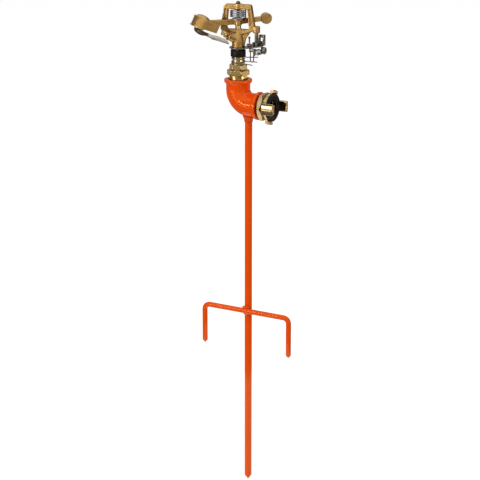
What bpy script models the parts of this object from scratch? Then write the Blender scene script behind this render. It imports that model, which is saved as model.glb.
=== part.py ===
# Brass impact sprinkler on a pointed ground rod with a foot bar.
# World frame: the origin is on the rod's axis at the ground line, the underside of the
# foot bar; +Z is up and the hose coupling points along +X.
# Sizes are in millimetres, and MM turns them into Blender's metres.
import math

import bmesh
import bpy
from mathutils import Matrix, Vector

MM = 0.001
GAP = 0.3
MERGE = 0.0005
WELD = 0.004

# Ground rod and foot bar
ROD_RADIUS = 5.0
ROD_TIP_Z = -259.0
ROD_POINT_LENGTH = 6.5
BAR_RADIUS = 3.5
BAR_SPAN = 135.0
BAR_OFFSET_X = 1.5
BAR_BEND_RADIUS = 8.0
BAR_LEG_TIP_Z = -55.0
BAR_POINT_LENGTH = 4.0

# Pipe elbow, 3/4 inch, malleable pattern
HEAD_X = -16.3
ELBOW_Z = 299.8
ELBOW_CENTRE_TO_FACE = 34.6
ELBOW_BEND_RADIUS = 20.5
ELBOW_BODY_RADIUS = 16.7
ELBOW_BEAD_RADIUS = 19.3
ELBOW_BEAD_WIDTH = 5.0
ELBOW_WATERWAY_RADIUS = 12.0
SOCKET_RADIUS = 13.5
SOCKET_DEPTH = 15.0
PIPE_THREAD_RADIUS = SOCKET_RADIUS - GAP

# Claw coupling for the hose, all distances along +X
COUPLING_FACE_X = 36.3
COUPLING_FLANGE_BACK_X = 32.4
COUPLING_FLANGE_RADIUS = 19.6
COUPLING_GROOVE_RADIUS = 15.3
COUPLING_COLLAR_FLATS = 36.0
COUPLING_BORE_RADIUS = 9.5
EAR_RADIUS = 24.0
EAR_HALF_ANGLE = 17.0
EAR_TURN = -20.0
CLAW_INNER_RADIUS = 20.0
CLAW_OUTER_RADIUS = 24.0
CLAW_HOOK_RADIUS = 17.4
CLAW_HALF_ANGLE = 19.5
CLAW_TURN = 85.5
CLAW_ROOT_X = 30.6
RAMP_START = 3.0
RAMP_END = 62.0
CLAW_TIP_X = 49.2
CLAW_ROOT_RADIUS = 14.5
CLAW_HOOK_LENGTH = 3.8
EAR_ROOT_RADIUS = 17.0
EAR_RISE = 2.2
SEAL_RADIUS = 19.4
SEAL_FACE_X = 38.6

# Reducing bush and bearing nipple
BUSH_FLATS = 28.0
BUSH_HEX_Z = 340.0
BUSH_TOP_Z = 347.3
NIPPLE_FLATS = 22.0
NIPPLE_HEX_TOP_Z = 354.8
NIPPLE_TOP_Z = 365.2
NIPPLE_BOTTOM_Z = 331.0
NIPPLE_STEM_RADIUS = 8.0
NIPPLE_BORE_RADIUS = 6.6

# Sprinkler head
SLEEVE_RADIUS = 6.2
BARREL_RADIUS = 8.6
BARREL_BOTTOM_Z = 375.2
JET_Z = 388.5
JET_ELEVATION = 26.0
JET_AZIMUTH = 226.0
TOWER_RADIUS = 6.5
TOWER_LENGTH = 15.7
BRIDGE_AZIMUTH = 14.0
BRIDGE_THICKNESS = 8.5
BRIDGE_TOP_Z = 436.7
WINDOW_TOP_Z = 430.3
WINDOW_BOTTOM_Z = 403.0
PIVOT_RADIUS = 2.3
PIVOT_TOP_Z = 441.0
BOSS_P = 25.7

# Impact arm
ARM_BOTTOM_Z = 409.5
ARM_TOP_Z = 416.8
ARM_HALF_THICKNESS = 3.2
WEIGHT_RADIUS = 7.6
WEIGHT_U = -39.5
WEIGHT_Z = 415.8
SPOON_TOP_N = 6.8
SPOON_FLOOR_N = -8.2
SPOON_WALL = 1.8
SPOON_ROOT_S = 34.5
SPOON_NOSE_S = 55.6
SPOON_NOSE_RADIUS = 13.4
SPOON_TIP_S = 71.0
SPOON_SIDE_T = 8.4
DOME_RADIUS = 9.8
DOME_HEIGHT = 4.0
BLADE_NEAR_T = 2.9
BLADE_FAR_T = 4.1
BLADE_TOP_N = -8.7
BLADE_TAB_S = 54.3
BLADE_TAB_RADIUS = 11.3
BLADE_TAB_N = -15.2
RIVET_S = 57.5
RIVET_N = -11.1
RIVET_RADIUS = 1.2
ARM_SPRING_WIRE = 0.8
ARM_SPRING_RADIUS = 10.6

# Trip mechanism: p runs outwards along the bridge's azimuth, q across it
TRIP_AXIS_Z = 381.0
TRIP_SHEET = 1.4
TRIP_SHELF_Z = 377.1
TRIP_SHELF_END_Z = 380.4
TRIP_WEB_Q = -7.7
TRIP_WEB_END_P = 36.4
TRIP_WEB_TOP_Z = 395.5
TRIP_TAB_P = 32.7
TRIP_SPRING_Z = 375.0
TRIP_LUG_PLACES = (12.4, 20.2)
TRIP_LEG_PLACES = (17.2, 21.6)
TRIP_WIRE_BOTTOM_Z = 358.4
TRIP_WIRE_TOP_Z = 376.2
TRIP_WIRE_RADIUS = 0.8
COLLAR_WIRE_RADIUS = 0.75

# Finishes: colour, roughness, metallic
PAINT = ((0.76, 0.09, 0.008), 0.25, 0.0)
BRASS = ((0.55, 0.36, 0.13), 0.32, 1.0)
STEEL = ((0.50, 0.50, 0.50), 0.30, 1.0)
BRIGHT_STEEL = ((0.78, 0.78, 0.78), 0.22, 1.0)
RUBBER = ((0.012, 0.012, 0.012), 0.55, 0.0)
NYLON = ((0.75, 0.74, 0.70), 0.45, 0.0)


def clear_scene():
    for obj in list(bpy.data.objects):
        bpy.data.objects.remove(obj, do_unlink=True)


def paint(obj, finish):
    colour, roughness, metallic = finish
    material = bpy.data.materials.new(obj.name + "_finish")
    material.use_nodes = True
    shader = material.node_tree.nodes["Principled BSDF"]
    shader.inputs["Base Color"].default_value = (*colour, 1.0)
    shader.inputs["Roughness"].default_value = roughness
    shader.inputs["Metallic"].default_value = metallic
    obj.data.materials.clear()
    obj.data.materials.append(material)
    obj.data.shade_smooth()
    obj.data.set_sharp_from_angle(angle=math.radians(35))
    return obj


def link_mesh(name, bm, frame):
    # closes the shape's seams, turns its faces outwards and places it in its frame
    bmesh.ops.remove_doubles(bm, verts=bm.verts, dist=MERGE)
    bmesh.ops.recalc_face_normals(bm, faces=bm.faces)
    bmesh.ops.scale(bm, vec=(MM, MM, MM), verts=bm.verts)
    placed = Matrix.Translation(frame.translation * MM) @ frame.to_quaternion().to_matrix().to_4x4()
    bmesh.ops.transform(bm, matrix=placed, verts=bm.verts)
    mesh = bpy.data.meshes.new(name)
    bm.to_mesh(mesh)
    bm.free()
    obj = bpy.data.objects.new(name, mesh)
    bpy.context.scene.collection.objects.link(obj)
    return obj


WORLD = Matrix.Identity(4)


def facing(direction, origin=(0.0, 0.0, 0.0)):
    # a frame whose Z runs along the direction
    turn = Vector(direction).normalized().to_track_quat("Z", "Y").to_matrix().to_4x4()
    return Matrix.Translation(origin) @ turn


def turned(name, profile, segments=32, frame=WORLD):
    # spins a profile of (radius, height) points about the frame's Z; a profile that
    # starts and ends on the axis is open there, any other is a closed ring
    bm = bmesh.new()
    verts = [bm.verts.new((radius, 0.0, height)) for radius, height in profile]
    edges = [bm.edges.new(pair) for pair in zip(verts, verts[1:])]
    if profile[0][0] > 0.0:
        edges.append(bm.edges.new((verts[-1], verts[0])))
    bmesh.ops.spin(bm, geom=verts + edges, cent=(0, 0, 0), axis=(0, 0, 1),
                   angle=2 * math.pi, steps=segments)
    return link_mesh(name, bm, frame)


def cylinder(name, radius, low, high, segments=32, frame=WORLD):
    return turned(name, [(0.0, low), (radius, low), (radius, high), (0.0, high)], segments, frame)


def prism(name, outline, low, high, frame=WORLD):
    # extrudes an outline in the frame's XY from low to high along its Z
    bm = bmesh.new()
    base = bm.faces.new([bm.verts.new((x, y, low)) for x, y in outline])
    top = bmesh.ops.extrude_face_region(bm, geom=[base])
    moved = [item for item in top["geom"] if isinstance(item, bmesh.types.BMVert)]
    bmesh.ops.translate(bm, vec=(0, 0, high - low), verts=moved)
    return link_mesh(name, bm, frame)


def hexagon(name, across_flats, low, high, frame=WORLD, turn=15.0):
    # a hexagon whose corners are turned down at both ends
    corner = across_flats / 2 / math.cos(math.radians(30))
    angles = [math.radians(turn + 60 * i) for i in range(6)]
    outline = [(corner * math.cos(a), corner * math.sin(a)) for a in angles]
    body = prism(name, outline, low, high, frame)
    flat = across_flats / 2 * 0.965
    rise = (corner - flat) * 0.6
    brim = corner + 0.05
    profile = [(0.0, low - 0.1), (flat - 0.2, low - 0.1), (brim, low + rise),
               (brim, high - rise), (flat - 0.2, high + 0.1), (0.0, high + 0.1)]
    limit = turned(name + "_chamfer", profile, 24, frame)
    return combined(body, [("INTERSECT", limit)])


def loft(name, sections, frame=WORLD):
    # joins equal loops of points with faces and closes both ends
    bm = bmesh.new()
    loops = [[bm.verts.new(point) for point in section] for section in sections]
    count = len(loops[0])
    for first, second in zip(loops, loops[1:]):
        for i in range(count):
            j = (i + 1) % count
            bm.faces.new((first[i], first[j], second[j], second[i]))
    bm.faces.new(loops[0])
    bm.faces.new(loops[-1])
    return link_mesh(name, bm, frame)


def swept(name, stations, resolution, frame=WORLD):
    # a round bar through (x, y, z, radius) stations, with 4 + 2 * resolution sides
    curve = bpy.data.curves.new(name, "CURVE")
    curve.dimensions = "3D"
    curve.bevel_depth = MM
    curve.bevel_resolution = resolution
    curve.use_fill_caps = True
    curve.render_resolution_u = 0
    spline = curve.splines.new("POLY")
    spline.points.add(len(stations) - 1)
    for point, (x, y, z, radius) in zip(spline.points, stations):
        point.co = (x * MM, y * MM, z * MM, 1.0)
        point.radius = radius
    guide = bpy.data.objects.new(name + "_guide", curve)
    bpy.context.scene.collection.objects.link(guide)
    depsgraph = bpy.context.evaluated_depsgraph_get()
    mesh = bpy.data.meshes.new_from_object(guide.evaluated_get(depsgraph))
    bm = bmesh.new()
    bm.from_mesh(mesh)
    bpy.data.objects.remove(guide, do_unlink=True)
    bpy.data.meshes.remove(mesh)
    bmesh.ops.scale(bm, vec=(1 / MM, 1 / MM, 1 / MM), verts=bm.verts)
    return link_mesh(name, bm, frame)


def combined(base, steps, solver="EXACT"):
    # applies Boolean steps to the base one by one, welds the slivers that a cut leaves,
    # and removes the shapes that they used
    for operation, tool in steps:
        modifier = base.modifiers.new(operation.lower(), "BOOLEAN")
        modifier.operation = operation
        modifier.solver = solver
        modifier.object = tool
        depsgraph = bpy.context.evaluated_depsgraph_get()
        mesh = bpy.data.meshes.new_from_object(base.evaluated_get(depsgraph))
        base.modifiers.clear()
        bm = bmesh.new()
        bm.from_mesh(mesh)
        bmesh.ops.remove_doubles(bm, verts=bm.verts, dist=WELD * MM)
        bmesh.ops.dissolve_degenerate(bm, edges=bm.edges, dist=WELD * MM)
        bm.to_mesh(mesh)
        bm.free()
        base.data = mesh
        bpy.data.objects.remove(tool, do_unlink=True)
    return base


def fused(base, shapes, cutters=(), solver="EXACT"):
    steps = [("UNION", shape) for shape in shapes] + [("DIFFERENCE", cut) for cut in cutters]
    return combined(base, steps, solver)


def placed(obj, azimuth=0.0, height=0.0):
    # sets a piece of the head on the head's vertical axis, turned to its azimuth
    obj.location = (HEAD_X * MM, 0.0, height * MM)
    obj.rotation_euler = (0.0, 0.0, math.radians(azimuth))
    return obj


def rounded(corners, radius, steps=4):
    # an outline with each corner replaced by an arc
    outline = []
    count = len(corners)
    for i in range(count):
        corner = Vector(corners[i])
        before = (Vector(corners[i - 1]) - corner).normalized()
        after = (Vector(corners[(i + 1) % count]) - corner).normalized()
        half = before.angle(after) / 2
        reach = radius / math.tan(half)
        centre = corner + (before + after).normalized() * (radius / math.sin(half))
        start = corner + before * reach - centre
        end = corner + after * reach - centre
        turn = start.angle_signed(end)
        for step in range(steps + 1):
            spoke = start.copy()
            spoke.rotate(Matrix.Rotation(-turn * step / steps, 2))
            outline.append(tuple(centre + spoke))
    return outline


def arc(centre, radius, start, end, steps):
    angles = [math.radians(start + (end - start) * i / steps) for i in range(steps + 1)]
    return [(centre[0] + radius * math.cos(a), centre[1] + radius * math.sin(a)) for a in angles]


# Ground rod, foot bar and welds

def elbow_route(radius, reach=0.0):
    # the elbow's centre line from its top face round to its outlet face
    face = ELBOW_CENTRE_TO_FACE + reach
    bend = ELBOW_BEND_RADIUS
    centre = (HEAD_X + bend, ELBOW_Z + bend)
    route = [(HEAD_X, 0.0, ELBOW_Z + face, radius)]
    route += [(x, 0.0, z, radius) for x, z in arc(centre, bend, 180, 270, 10)]
    route.append((HEAD_X + face, 0.0, ELBOW_Z, radius))
    return route


def make_ground_rod():
    rod = turned("ground_rod", [(0.0, ROD_TIP_Z), (0.8, ROD_TIP_Z),
                                (ROD_RADIUS, ROD_TIP_Z + ROD_POINT_LENGTH),
                                (ROD_RADIUS, ELBOW_Z), (0.0, ELBOW_Z)], 24)
    saddle = swept("rod_saddle", elbow_route(ELBOW_BODY_RADIUS + GAP), 16)
    return paint(fused(rod, [], [saddle]), PAINT)


def make_elbow_weld():
    # the flared weld between the rod's top and the elbow's underside
    inner = ROD_RADIUS + GAP
    ring = turned("elbow_weld", [(inner, 275.5), (inner + 0.4, 275.5), (6.1, 278.5), (6.8, 281.0),
                                 (8.0, 283.2), (8.4, 285.5), (8.4, 290.0), (inner, 290.0)], 24)
    saddle = swept("weld_saddle", elbow_route(ELBOW_BODY_RADIUS + GAP), 16)
    return paint(fused(ring, [], [saddle]), PAINT)


def bar_y():
    return -(ROD_RADIUS + BAR_RADIUS + GAP)


def make_foot_bar():
    # one round bar bent into a wide staple, with a blunt point on each leg
    y = bar_y()
    bend = BAR_BEND_RADIUS
    left = BAR_OFFSET_X - BAR_SPAN / 2
    right = BAR_OFFSET_X + BAR_SPAN / 2
    level = BAR_RADIUS
    line = [(left, BAR_LEG_TIP_Z, 0.7), (left, BAR_LEG_TIP_Z + BAR_POINT_LENGTH, BAR_RADIUS)]
    line += [(x, z, BAR_RADIUS) for x, z in arc((left + bend, level - bend), bend, 180, 90, 6)]
    line += [(x, z, BAR_RADIUS) for x, z in arc((right - bend, level - bend), bend, 90, 0, 6)]
    line += [(right, BAR_LEG_TIP_Z + BAR_POINT_LENGTH, BAR_RADIUS), (right, BAR_LEG_TIP_Z, 0.7)]
    return paint(swept("foot_bar", [(x, y, z, radius) for x, z, radius in line], 4), PAINT)


def make_foot_weld(name, height, shift):
    # a weld bead lying in the corner between the rod and the foot bar
    y = bar_y() + 2.3
    sizes = ((-5.2, 0.9), (-4.0, 2.1), (-1.5, 2.7), (1.5, 2.6), (4.0, 2.2), (5.2, 0.9))
    bead = swept(name, [(x + shift, y, height, radius) for x, radius in sizes], 4)
    rod = cylinder(name + "_rod", ROD_RADIUS + GAP, -30, 30, 24)
    along = facing((1, 0, 0), (0, bar_y(), BAR_RADIUS))
    bar = cylinder(name + "_bar", BAR_RADIUS + GAP, -30, 30, 24, along)
    return paint(fused(bead, [], [rod, bar]), PAINT)


# Elbow, hose coupling, bush and nipple

def make_pipe_elbow():
    # a beaded casting with a real bend, a socket at each end and an open waterway
    face = ELBOW_CENTRE_TO_FACE
    bead = ELBOW_BEAD_RADIUS
    body = ELBOW_BODY_RADIUS
    lip = [(0.0, bead - 0.9), (0.9, bead), (ELBOW_BEAD_WIDTH - 1.2, bead),
           (ELBOW_BEAD_WIDTH, body + 1.0), (ELBOW_BEAD_WIDTH + 1.4, body)]
    stations = [(HEAD_X, 0.0, ELBOW_Z + face - depth, radius) for depth, radius in lip]
    stations += elbow_route(body)[1:-1]
    stations += [(HEAD_X + face - depth, 0.0, ELBOW_Z, radius) for depth, radius in reversed(lip)]
    casting = swept("pipe_elbow", stations, 14)
    waterway = swept("elbow_waterway", elbow_route(ELBOW_WATERWAY_RADIUS, 1.0), 10)
    top = cylinder("elbow_top_socket", SOCKET_RADIUS, face - SOCKET_DEPTH, face + 2, 28,
                   facing((0, 0, 1), (HEAD_X, 0, ELBOW_Z)))
    side = cylinder("elbow_side_socket", SOCKET_RADIUS, face - SOCKET_DEPTH, face + 2, 28,
                    facing((1, 0, 0), (HEAD_X, 0, ELBOW_Z)))
    return paint(fused(casting, [], [waterway, top, side]), PAINT)


def coupling_frame():
    return Matrix.Translation((0.0, 0.0, ELBOW_Z))


def swung(profile, angle):
    # a point (radius, x) swung about the coupling's axis; angle 0 is up, 90 is -Y
    a = math.radians(angle)
    return [(x, -radius * math.sin(a), radius * math.cos(a)) for radius, x in profile]


def coupling_sector(name, profile, centre, half_angle, steps):
    angles = [centre - half_angle + 2 * half_angle * i / steps for i in range(steps + 1)]
    return loft(name, [swung(profile, angle) for angle in angles], coupling_frame())


def coupling_ramp(name, start, end, steps):
    # the flange's helical back face, which draws the other half's claws tight
    inner = COUPLING_GROOVE_RADIUS - 0.5
    outer = COUPLING_FLANGE_RADIUS - 0.3
    sections = []
    for i in range(steps + 1):
        angle = start + (end - start) * i / steps
        back = COUPLING_FLANGE_BACK_X - 0.2 - 1.8 * i / steps
        front = COUPLING_FLANGE_BACK_X + 1.0
        sections.append(swung([(inner, back), (outer, back), (outer, front), (inner, front)], angle))
    return loft(name, sections, coupling_frame())


def coupling_ears():
    # the two low lugs that the other half's claws slide over
    back = COUPLING_FLANGE_BACK_X
    face = COUPLING_FACE_X
    lip = face + EAR_RISE
    profile = [(EAR_ROOT_RADIUS, back + 0.2), (EAR_RADIUS - 0.8, back + 0.2), (EAR_RADIUS, back + 1.0),
               (EAR_RADIUS, lip - 0.6), (EAR_RADIUS - 0.8, lip), (CLAW_INNER_RADIUS, lip),
               (CLAW_INNER_RADIUS, face - 1.0), (EAR_ROOT_RADIUS, face - 1.0)]
    return [coupling_sector("ear_%d" % i, profile, EAR_TURN + 180.0 * i, EAR_HALF_ANGLE, 4)
            for i in range(2)]


def coupling_claws():
    # the two long claws, each hooked inwards at its tip
    face = COUPLING_FACE_X
    tip = CLAW_TIP_X
    hook = tip - CLAW_HOOK_LENGTH
    profile = [(CLAW_ROOT_RADIUS, CLAW_ROOT_X), (CLAW_OUTER_RADIUS - 1.6, CLAW_ROOT_X),
               (CLAW_OUTER_RADIUS, CLAW_ROOT_X + 1.6), (CLAW_OUTER_RADIUS, tip - 1.0),
               (CLAW_OUTER_RADIUS - 1.0, tip), (CLAW_HOOK_RADIUS + 0.6, tip), (CLAW_HOOK_RADIUS, tip - 0.6),
               (CLAW_HOOK_RADIUS, hook), (CLAW_INNER_RADIUS, hook - 0.8),
               (CLAW_INNER_RADIUS, face - 1.0), (CLAW_ROOT_RADIUS, face - 1.0)]
    return [coupling_sector("claw_%d" % i, profile, CLAW_TURN + 180.0 * i, CLAW_HALF_ANGLE, 5)
            for i in range(2)]


def make_coupling_body():
    # half a claw coupling: threaded tail, spanner collar, groove, flange, ears and claws
    along = facing((1, 0, 0), (0, 0, ELBOW_Z))
    face = COUPLING_FACE_X
    back = COUPLING_FLANGE_BACK_X
    outlet = HEAD_X + ELBOW_CENTRE_TO_FACE
    body = turned("coupling_body", [
        (0.0, outlet - 14.0), (PIPE_THREAD_RADIUS - 0.8, outlet - 14.0),
        (PIPE_THREAD_RADIUS, outlet - 13.2), (PIPE_THREAD_RADIUS, outlet + GAP),
        (15.6, outlet + GAP), (17.2, outlet + 2.2), (17.2, 28.6), (COUPLING_GROOVE_RADIUS, 28.9),
        (COUPLING_GROOVE_RADIUS, back), (COUPLING_FLANGE_RADIUS, back), (COUPLING_FLANGE_RADIUS, face),
        (0.0, face)], 32, along)
    collar = hexagon("coupling_collar", COUPLING_COLLAR_FLATS, 21.0, 28.4, along, 0.0)
    ramps = [coupling_ramp("ramp_%d" % i, RAMP_START + 180.0 * i, RAMP_END + 180.0 * i, 7)
             for i in range(2)]
    bore = cylinder("coupling_bore", COUPLING_BORE_RADIUS, 0.0, 60.0, 28, along)
    seat = cylinder("coupling_seat", 15.5, face - 2.9, face + 5.0, 32, along)
    shapes = [collar] + coupling_ears() + coupling_claws() + ramps
    return paint(fused(body, shapes, [bore, seat], "MANIFOLD"), BRASS)


def make_coupling_seal():
    # the rubber face seal with its spigot, sealing lip and outer ring
    along = facing((1, 0, 0), (0, 0, ELBOW_Z))
    face = COUPLING_FACE_X + GAP
    front = SEAL_FACE_X
    seal = turned("coupling_seal", [
        (COUPLING_BORE_RADIUS, face - 2.9), (15.2, face - 2.9), (15.2, face), (SEAL_RADIUS, face),
        (SEAL_RADIUS, front - 0.3), (SEAL_RADIUS - 0.4, front), (17.8, front), (17.3, front - 0.8),
        (14.9, front - 0.8), (14.2, front + 0.4), (13.2, front + 0.9), (12.0, front + 0.4),
        (11.2, front - 0.4), (COUPLING_BORE_RADIUS, front - 0.8)], 32, along)
    return paint(seal, RUBBER)


def make_reducing_bush():
    body = hexagon("reducing_bush", BUSH_FLATS, BUSH_HEX_Z, BUSH_TOP_Z)
    thread = turned("bush_thread", [(0.0, 321.0), (PIPE_THREAD_RADIUS - 0.8, 321.0),
                                    (PIPE_THREAD_RADIUS, 321.8), (PIPE_THREAD_RADIUS, BUSH_HEX_Z + 1.0),
                                    (0.0, BUSH_HEX_Z + 1.0)], 28)
    bore = cylinder("bush_bore", 10.6, 300.0, 360.0, 24)
    return placed(paint(fused(body, [thread], [bore]), BRASS))


def make_bearing_nipple():
    # fixed hexagon nipple; its smooth stem carries the two friction collars
    body = hexagon("bearing_nipple", NIPPLE_FLATS, BUSH_TOP_Z + GAP, NIPPLE_HEX_TOP_Z)
    shank = turned("nipple_shank", [
        (0.0, NIPPLE_BOTTOM_Z), (9.7, NIPPLE_BOTTOM_Z), (10.3, NIPPLE_BOTTOM_Z + 0.6),
        (10.3, BUSH_TOP_Z + 1.0), (NIPPLE_STEM_RADIUS, BUSH_TOP_Z + 1.5),
        (NIPPLE_STEM_RADIUS, NIPPLE_TOP_Z - 0.5), (NIPPLE_STEM_RADIUS - 0.5, NIPPLE_TOP_Z),
        (0.0, NIPPLE_TOP_Z)], 24)
    bore = cylinder("nipple_bore", NIPPLE_BORE_RADIUS, 300.0, 400.0, 20)
    return placed(paint(fused(body, [shank], [bore]), BRASS))


# Bearing of the turning head

def make_bearing_sleeve():
    # the tube that the head turns on, flanged below the nipple and screwed into the barrel
    sleeve = turned("bearing_sleeve", [
        (4.9, 323.5), (9.3, 323.5), (9.3, 327.1), (SLEEVE_RADIUS, 327.1), (SLEEVE_RADIUS, 384.4),
        (SLEEVE_RADIUS - 0.6, 385.0), (4.9, 385.0)], 24)
    return placed(paint(sleeve, BRASS))


def make_ring(name, inner, outer, low, high, finish, segments=20):
    ring = turned(name, [(inner, low), (outer, low), (outer, high), (inner, high)], segments)
    return placed(paint(ring, finish))


def make_dust_sleeve():
    # the black cup that shields the bearing spring
    cup = turned("dust_sleeve", [
        (9.3, 365.6), (10.1, 365.6), (10.4, 366.0), (10.4, 374.3), (9.8, 374.9), (6.5, 374.9),
        (6.5, 373.2), (9.3, 373.2)], 28)
    return placed(paint(cup, RUBBER))


def helix(radius, start, turns, low, high, count):
    # points of a coil about Z, climbing from low to high
    total = max(2, round(turns * count))
    points = []
    for i in range(total + 1):
        angle = math.radians(start + 360.0 * turns * i / total)
        points.append((radius * math.cos(angle), radius * math.sin(angle), low + (high - low) * i / total))
    return points


def with_straight_ends(points, length):
    # carries both ends of a coil straight on for the given length
    def beyond(end, inner):
        step = Vector(end) - Vector(inner)
        step.z = 0.0
        return tuple(Vector(end) + step.normalized() * length)
    return [beyond(points[0], points[1])] + points + [beyond(points[-1], points[-2])]


def least_gap(points, radius, skip):
    # the least space between stretches of a wound wire that aren't neighbours along it
    vectors = [Vector(point) for point in points]
    best = 1e9
    for i in range(len(vectors) - 1):
        for j in range(i + skip, len(vectors) - 1):
            middle = (vectors[j] + vectors[j + 1]) / 2
            best = min(best, (vectors[i] - vectors[j]).length, (vectors[i] - middle).length)
    return best - 2 * radius


def wound(name, points, radius, finish, frame=WORLD, skip=5):
    print(name, "least gap to itself: %.2f mm" % least_gap(points, radius, skip))
    coil = swept(name, [(x, y, z, radius) for x, y, z in points], 1, frame)
    return paint(coil, finish)


def make_thrust_spring():
    points = with_straight_ends(helix(7.7, 200.0, 2.5, 367.1, 372.2, 10), 1.2)
    return placed(wound("thrust_spring", points, 0.6, BRIGHT_STEEL))


# Sprinkler body, bridge, nozzle and pivot

def upright_frame():
    # X stays along the piece, Y of the outline is up, and the extrusion runs across
    return Matrix(((1, 0, 0, 0), (0, 0, -1, 0), (0, 1, 0, 0), (0, 0, 0, 1)))


def jet_frame():
    # X along the jet, Y square to it and upwards, Z across
    return spoon_frame() @ upright_frame()


def jet_axis_frame(azimuth):
    a = math.radians(azimuth)
    e = math.radians(JET_ELEVATION)
    return facing((math.cos(a) * math.cos(e), math.sin(a) * math.cos(e), math.sin(e)), (0, 0, JET_Z))


def bridge_outline():
    # the cast frame's outer outline, in (p, z)
    top = rounded([(18.7, BRIDGE_TOP_Z), (-18.7, BRIDGE_TOP_Z), (-24.4, 401.2), (0.0, 394.6), (24.4, 401.2)],
                  3.2, 4)
    return top


def make_sprinkler_body():
    # one casting: barrel, inclined nozzle tower and the bridge over the arm
    relative = JET_AZIMUTH - BRIDGE_AZIMUTH
    half = BRIDGE_THICKNESS / 2
    barrel = turned("sprinkler_body", [
        (0.0, BARREL_BOTTOM_Z), (8.2, BARREL_BOTTOM_Z), (BARREL_RADIUS, BARREL_BOTTOM_Z + 0.5),
        (BARREL_RADIUS, 388.0), (8.2, 391.5), (7.0, 395.0), (4.6, 397.6), (0.0, 398.2)], 28)
    tower = turned("tower", [(0.0, -1.0), (7.6, -1.0), (7.0, 6.0), (TOWER_RADIUS, 13.6), (6.9, 14.3),
                             (6.9, TOWER_LENGTH - 0.4), (6.5, TOWER_LENGTH), (0.0, TOWER_LENGTH)],
                   24, jet_axis_frame(relative))
    frame = prism("bridge", bridge_outline(), -half, half, upright_frame())
    window = prism("window", rounded([(15.9, WINDOW_BOTTOM_Z), (13.7, WINDOW_TOP_Z), (-13.7, WINDOW_TOP_Z),
                                      (-15.9, WINDOW_BOTTOM_Z)], 2.0, 3), -20, 20, upright_frame())
    grooves = []
    for side in (-1, 1):
        for face in (-1, 1):
            panel = [(side * 18.2, 408.0), (side * 21.0, 408.0), (side * 17.6, 430.5), (side * 15.4, 430.5)]
            depths = sorted((face * (half - 1.3), face * (half + 3.0)))
            grooves.append(prism("groove", panel, depths[0], depths[1], upright_frame()))
    gusset = prism("gusset", [(5.0, 379.6), (8.9, 380.2), (11.0, 390.0), (17.5, 399.5), (5.0, 399.5)],
                   -2.6, 2.6, upright_frame())
    top_boss = cylinder("top_boss", 5.4, 429.9, 437.6, 20)
    seat_boss = turned("seat_boss", [(0.0, 396.0), (7.2, 396.0), (5.0, 403.0), (0.0, 403.0)], 20)
    side_boss = cylinder("side_boss", 4.9, 398.6, 407.6, 24, Matrix.Translation((BOSS_P, 0, 0)))
    bore = turned("bore", [(0.0, 370.0), (6.5, 370.0), (6.5, 385.3), (5.2, 385.3), (5.2, 388.0),
                           (4.0, 391.5), (0.0, 392.5)], 20)
    jet_bore = turned("jet_bore", [(0.0, 0.0), (4.4, 0.0), (4.4, 9.0), (5.0, 9.0), (5.0, 30.0), (0.0, 30.0)],
                      18, jet_axis_frame(relative))
    nozzle_room = cylinder("nozzle_room", 6.3, TOWER_LENGTH, 40.0, 20, jet_axis_frame(relative))
    pin_hole = cylinder("pin_hole", PIVOT_RADIUS + GAP, 398.6, 450.0, 20)
    post_hole = cylinder("post_hole", 2.9, 390.0, 404.6, 20, Matrix.Translation((BOSS_P, 0, 0)))
    body = fused(frame, [], [window] + grooves)
    body = fused(barrel, [tower, body, gusset, top_boss, seat_boss, side_boss],
                 [bore, jet_bore, nozzle_room, pin_hole, post_hole])
    return placed(paint(body, BRASS), BRIDGE_AZIMUTH)


def make_nozzle():
    axis = jet_axis_frame(0.0)
    body = hexagon("nozzle", 9.6, TOWER_LENGTH + GAP, 20.6, axis)
    nose = turned("nozzle_nose", [(0.0, 9.3), (4.7, 9.3), (4.7, 17.0), (3.9, 17.4), (3.9, 25.0), (3.4, 25.6),
                                  (0.0, 25.6)], 20, axis)
    waterway = turned("nozzle_waterway", [(0.0, 5.0), (3.9, 5.0), (3.9, 11.0), (2.2, 20.0), (2.2, 24.0),
                                          (3.0, 25.8), (3.0, 26.5), (0.0, 26.5)], 14, axis)
    return placed(paint(fused(body, [nose], [waterway]), BRASS), JET_AZIMUTH)


def make_pivot_pin():
    pin = turned("pivot_pin", [(0.0, 399.0), (PIVOT_RADIUS, 399.0), (PIVOT_RADIUS, 437.9), (2.9, 437.9),
                               (2.9, 439.3), (1.7, PIVOT_TOP_Z), (0.0, PIVOT_TOP_Z)], 20)
    return placed(paint(pin, STEEL))


def make_arm_spring():
    points = with_straight_ends(helix(ARM_SPRING_RADIUS, 60.0, 4.4, 418.6, 429.2, 10), 1.6)
    return placed(wound("arm_spring", points, ARM_SPRING_WIRE, BRIGHT_STEEL), JET_AZIMUTH)


# Impact arm

def spoon_nose(radius, start, end, steps):
    # the rounded outer end of the spoon, in its plan along and across the jet
    return arc((SPOON_NOSE_S, -5.0), radius, start, end, steps)


def spoon_outline():
    # rounded at the back and drawn to a tip
    back = arc((57.0, -1.5), 11.0, 300, 225, 4)
    nose = spoon_nose(SPOON_NOSE_RADIUS, 90, 12, 6)
    tip = [(SPOON_TIP_S, -4.0), (SPOON_TIP_S - 4.6, -8.6)]
    return [(33.0, 4.2), (44.0, SPOON_SIDE_T)] + nose + tip + back + [(42.0, -5.0), (33.0, -4.2)]


def floor_outline():
    nose = spoon_nose(SPOON_NOSE_RADIUS, 90, 12, 6)
    tip = [(SPOON_TIP_S, -4.5), (SPOON_TIP_S - 4.6, -7.5)]
    return [(53.0, SPOON_SIDE_T)] + nose + tip + [(58.0, -6.5), (53.0, -2.0)]


def spoon_frame():
    # X along the jet, Y across it, Z square to both
    return Matrix.Translation((0, 0, JET_Z)) @ Matrix.Rotation(math.radians(-JET_ELEVATION), 4, "Y")


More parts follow.
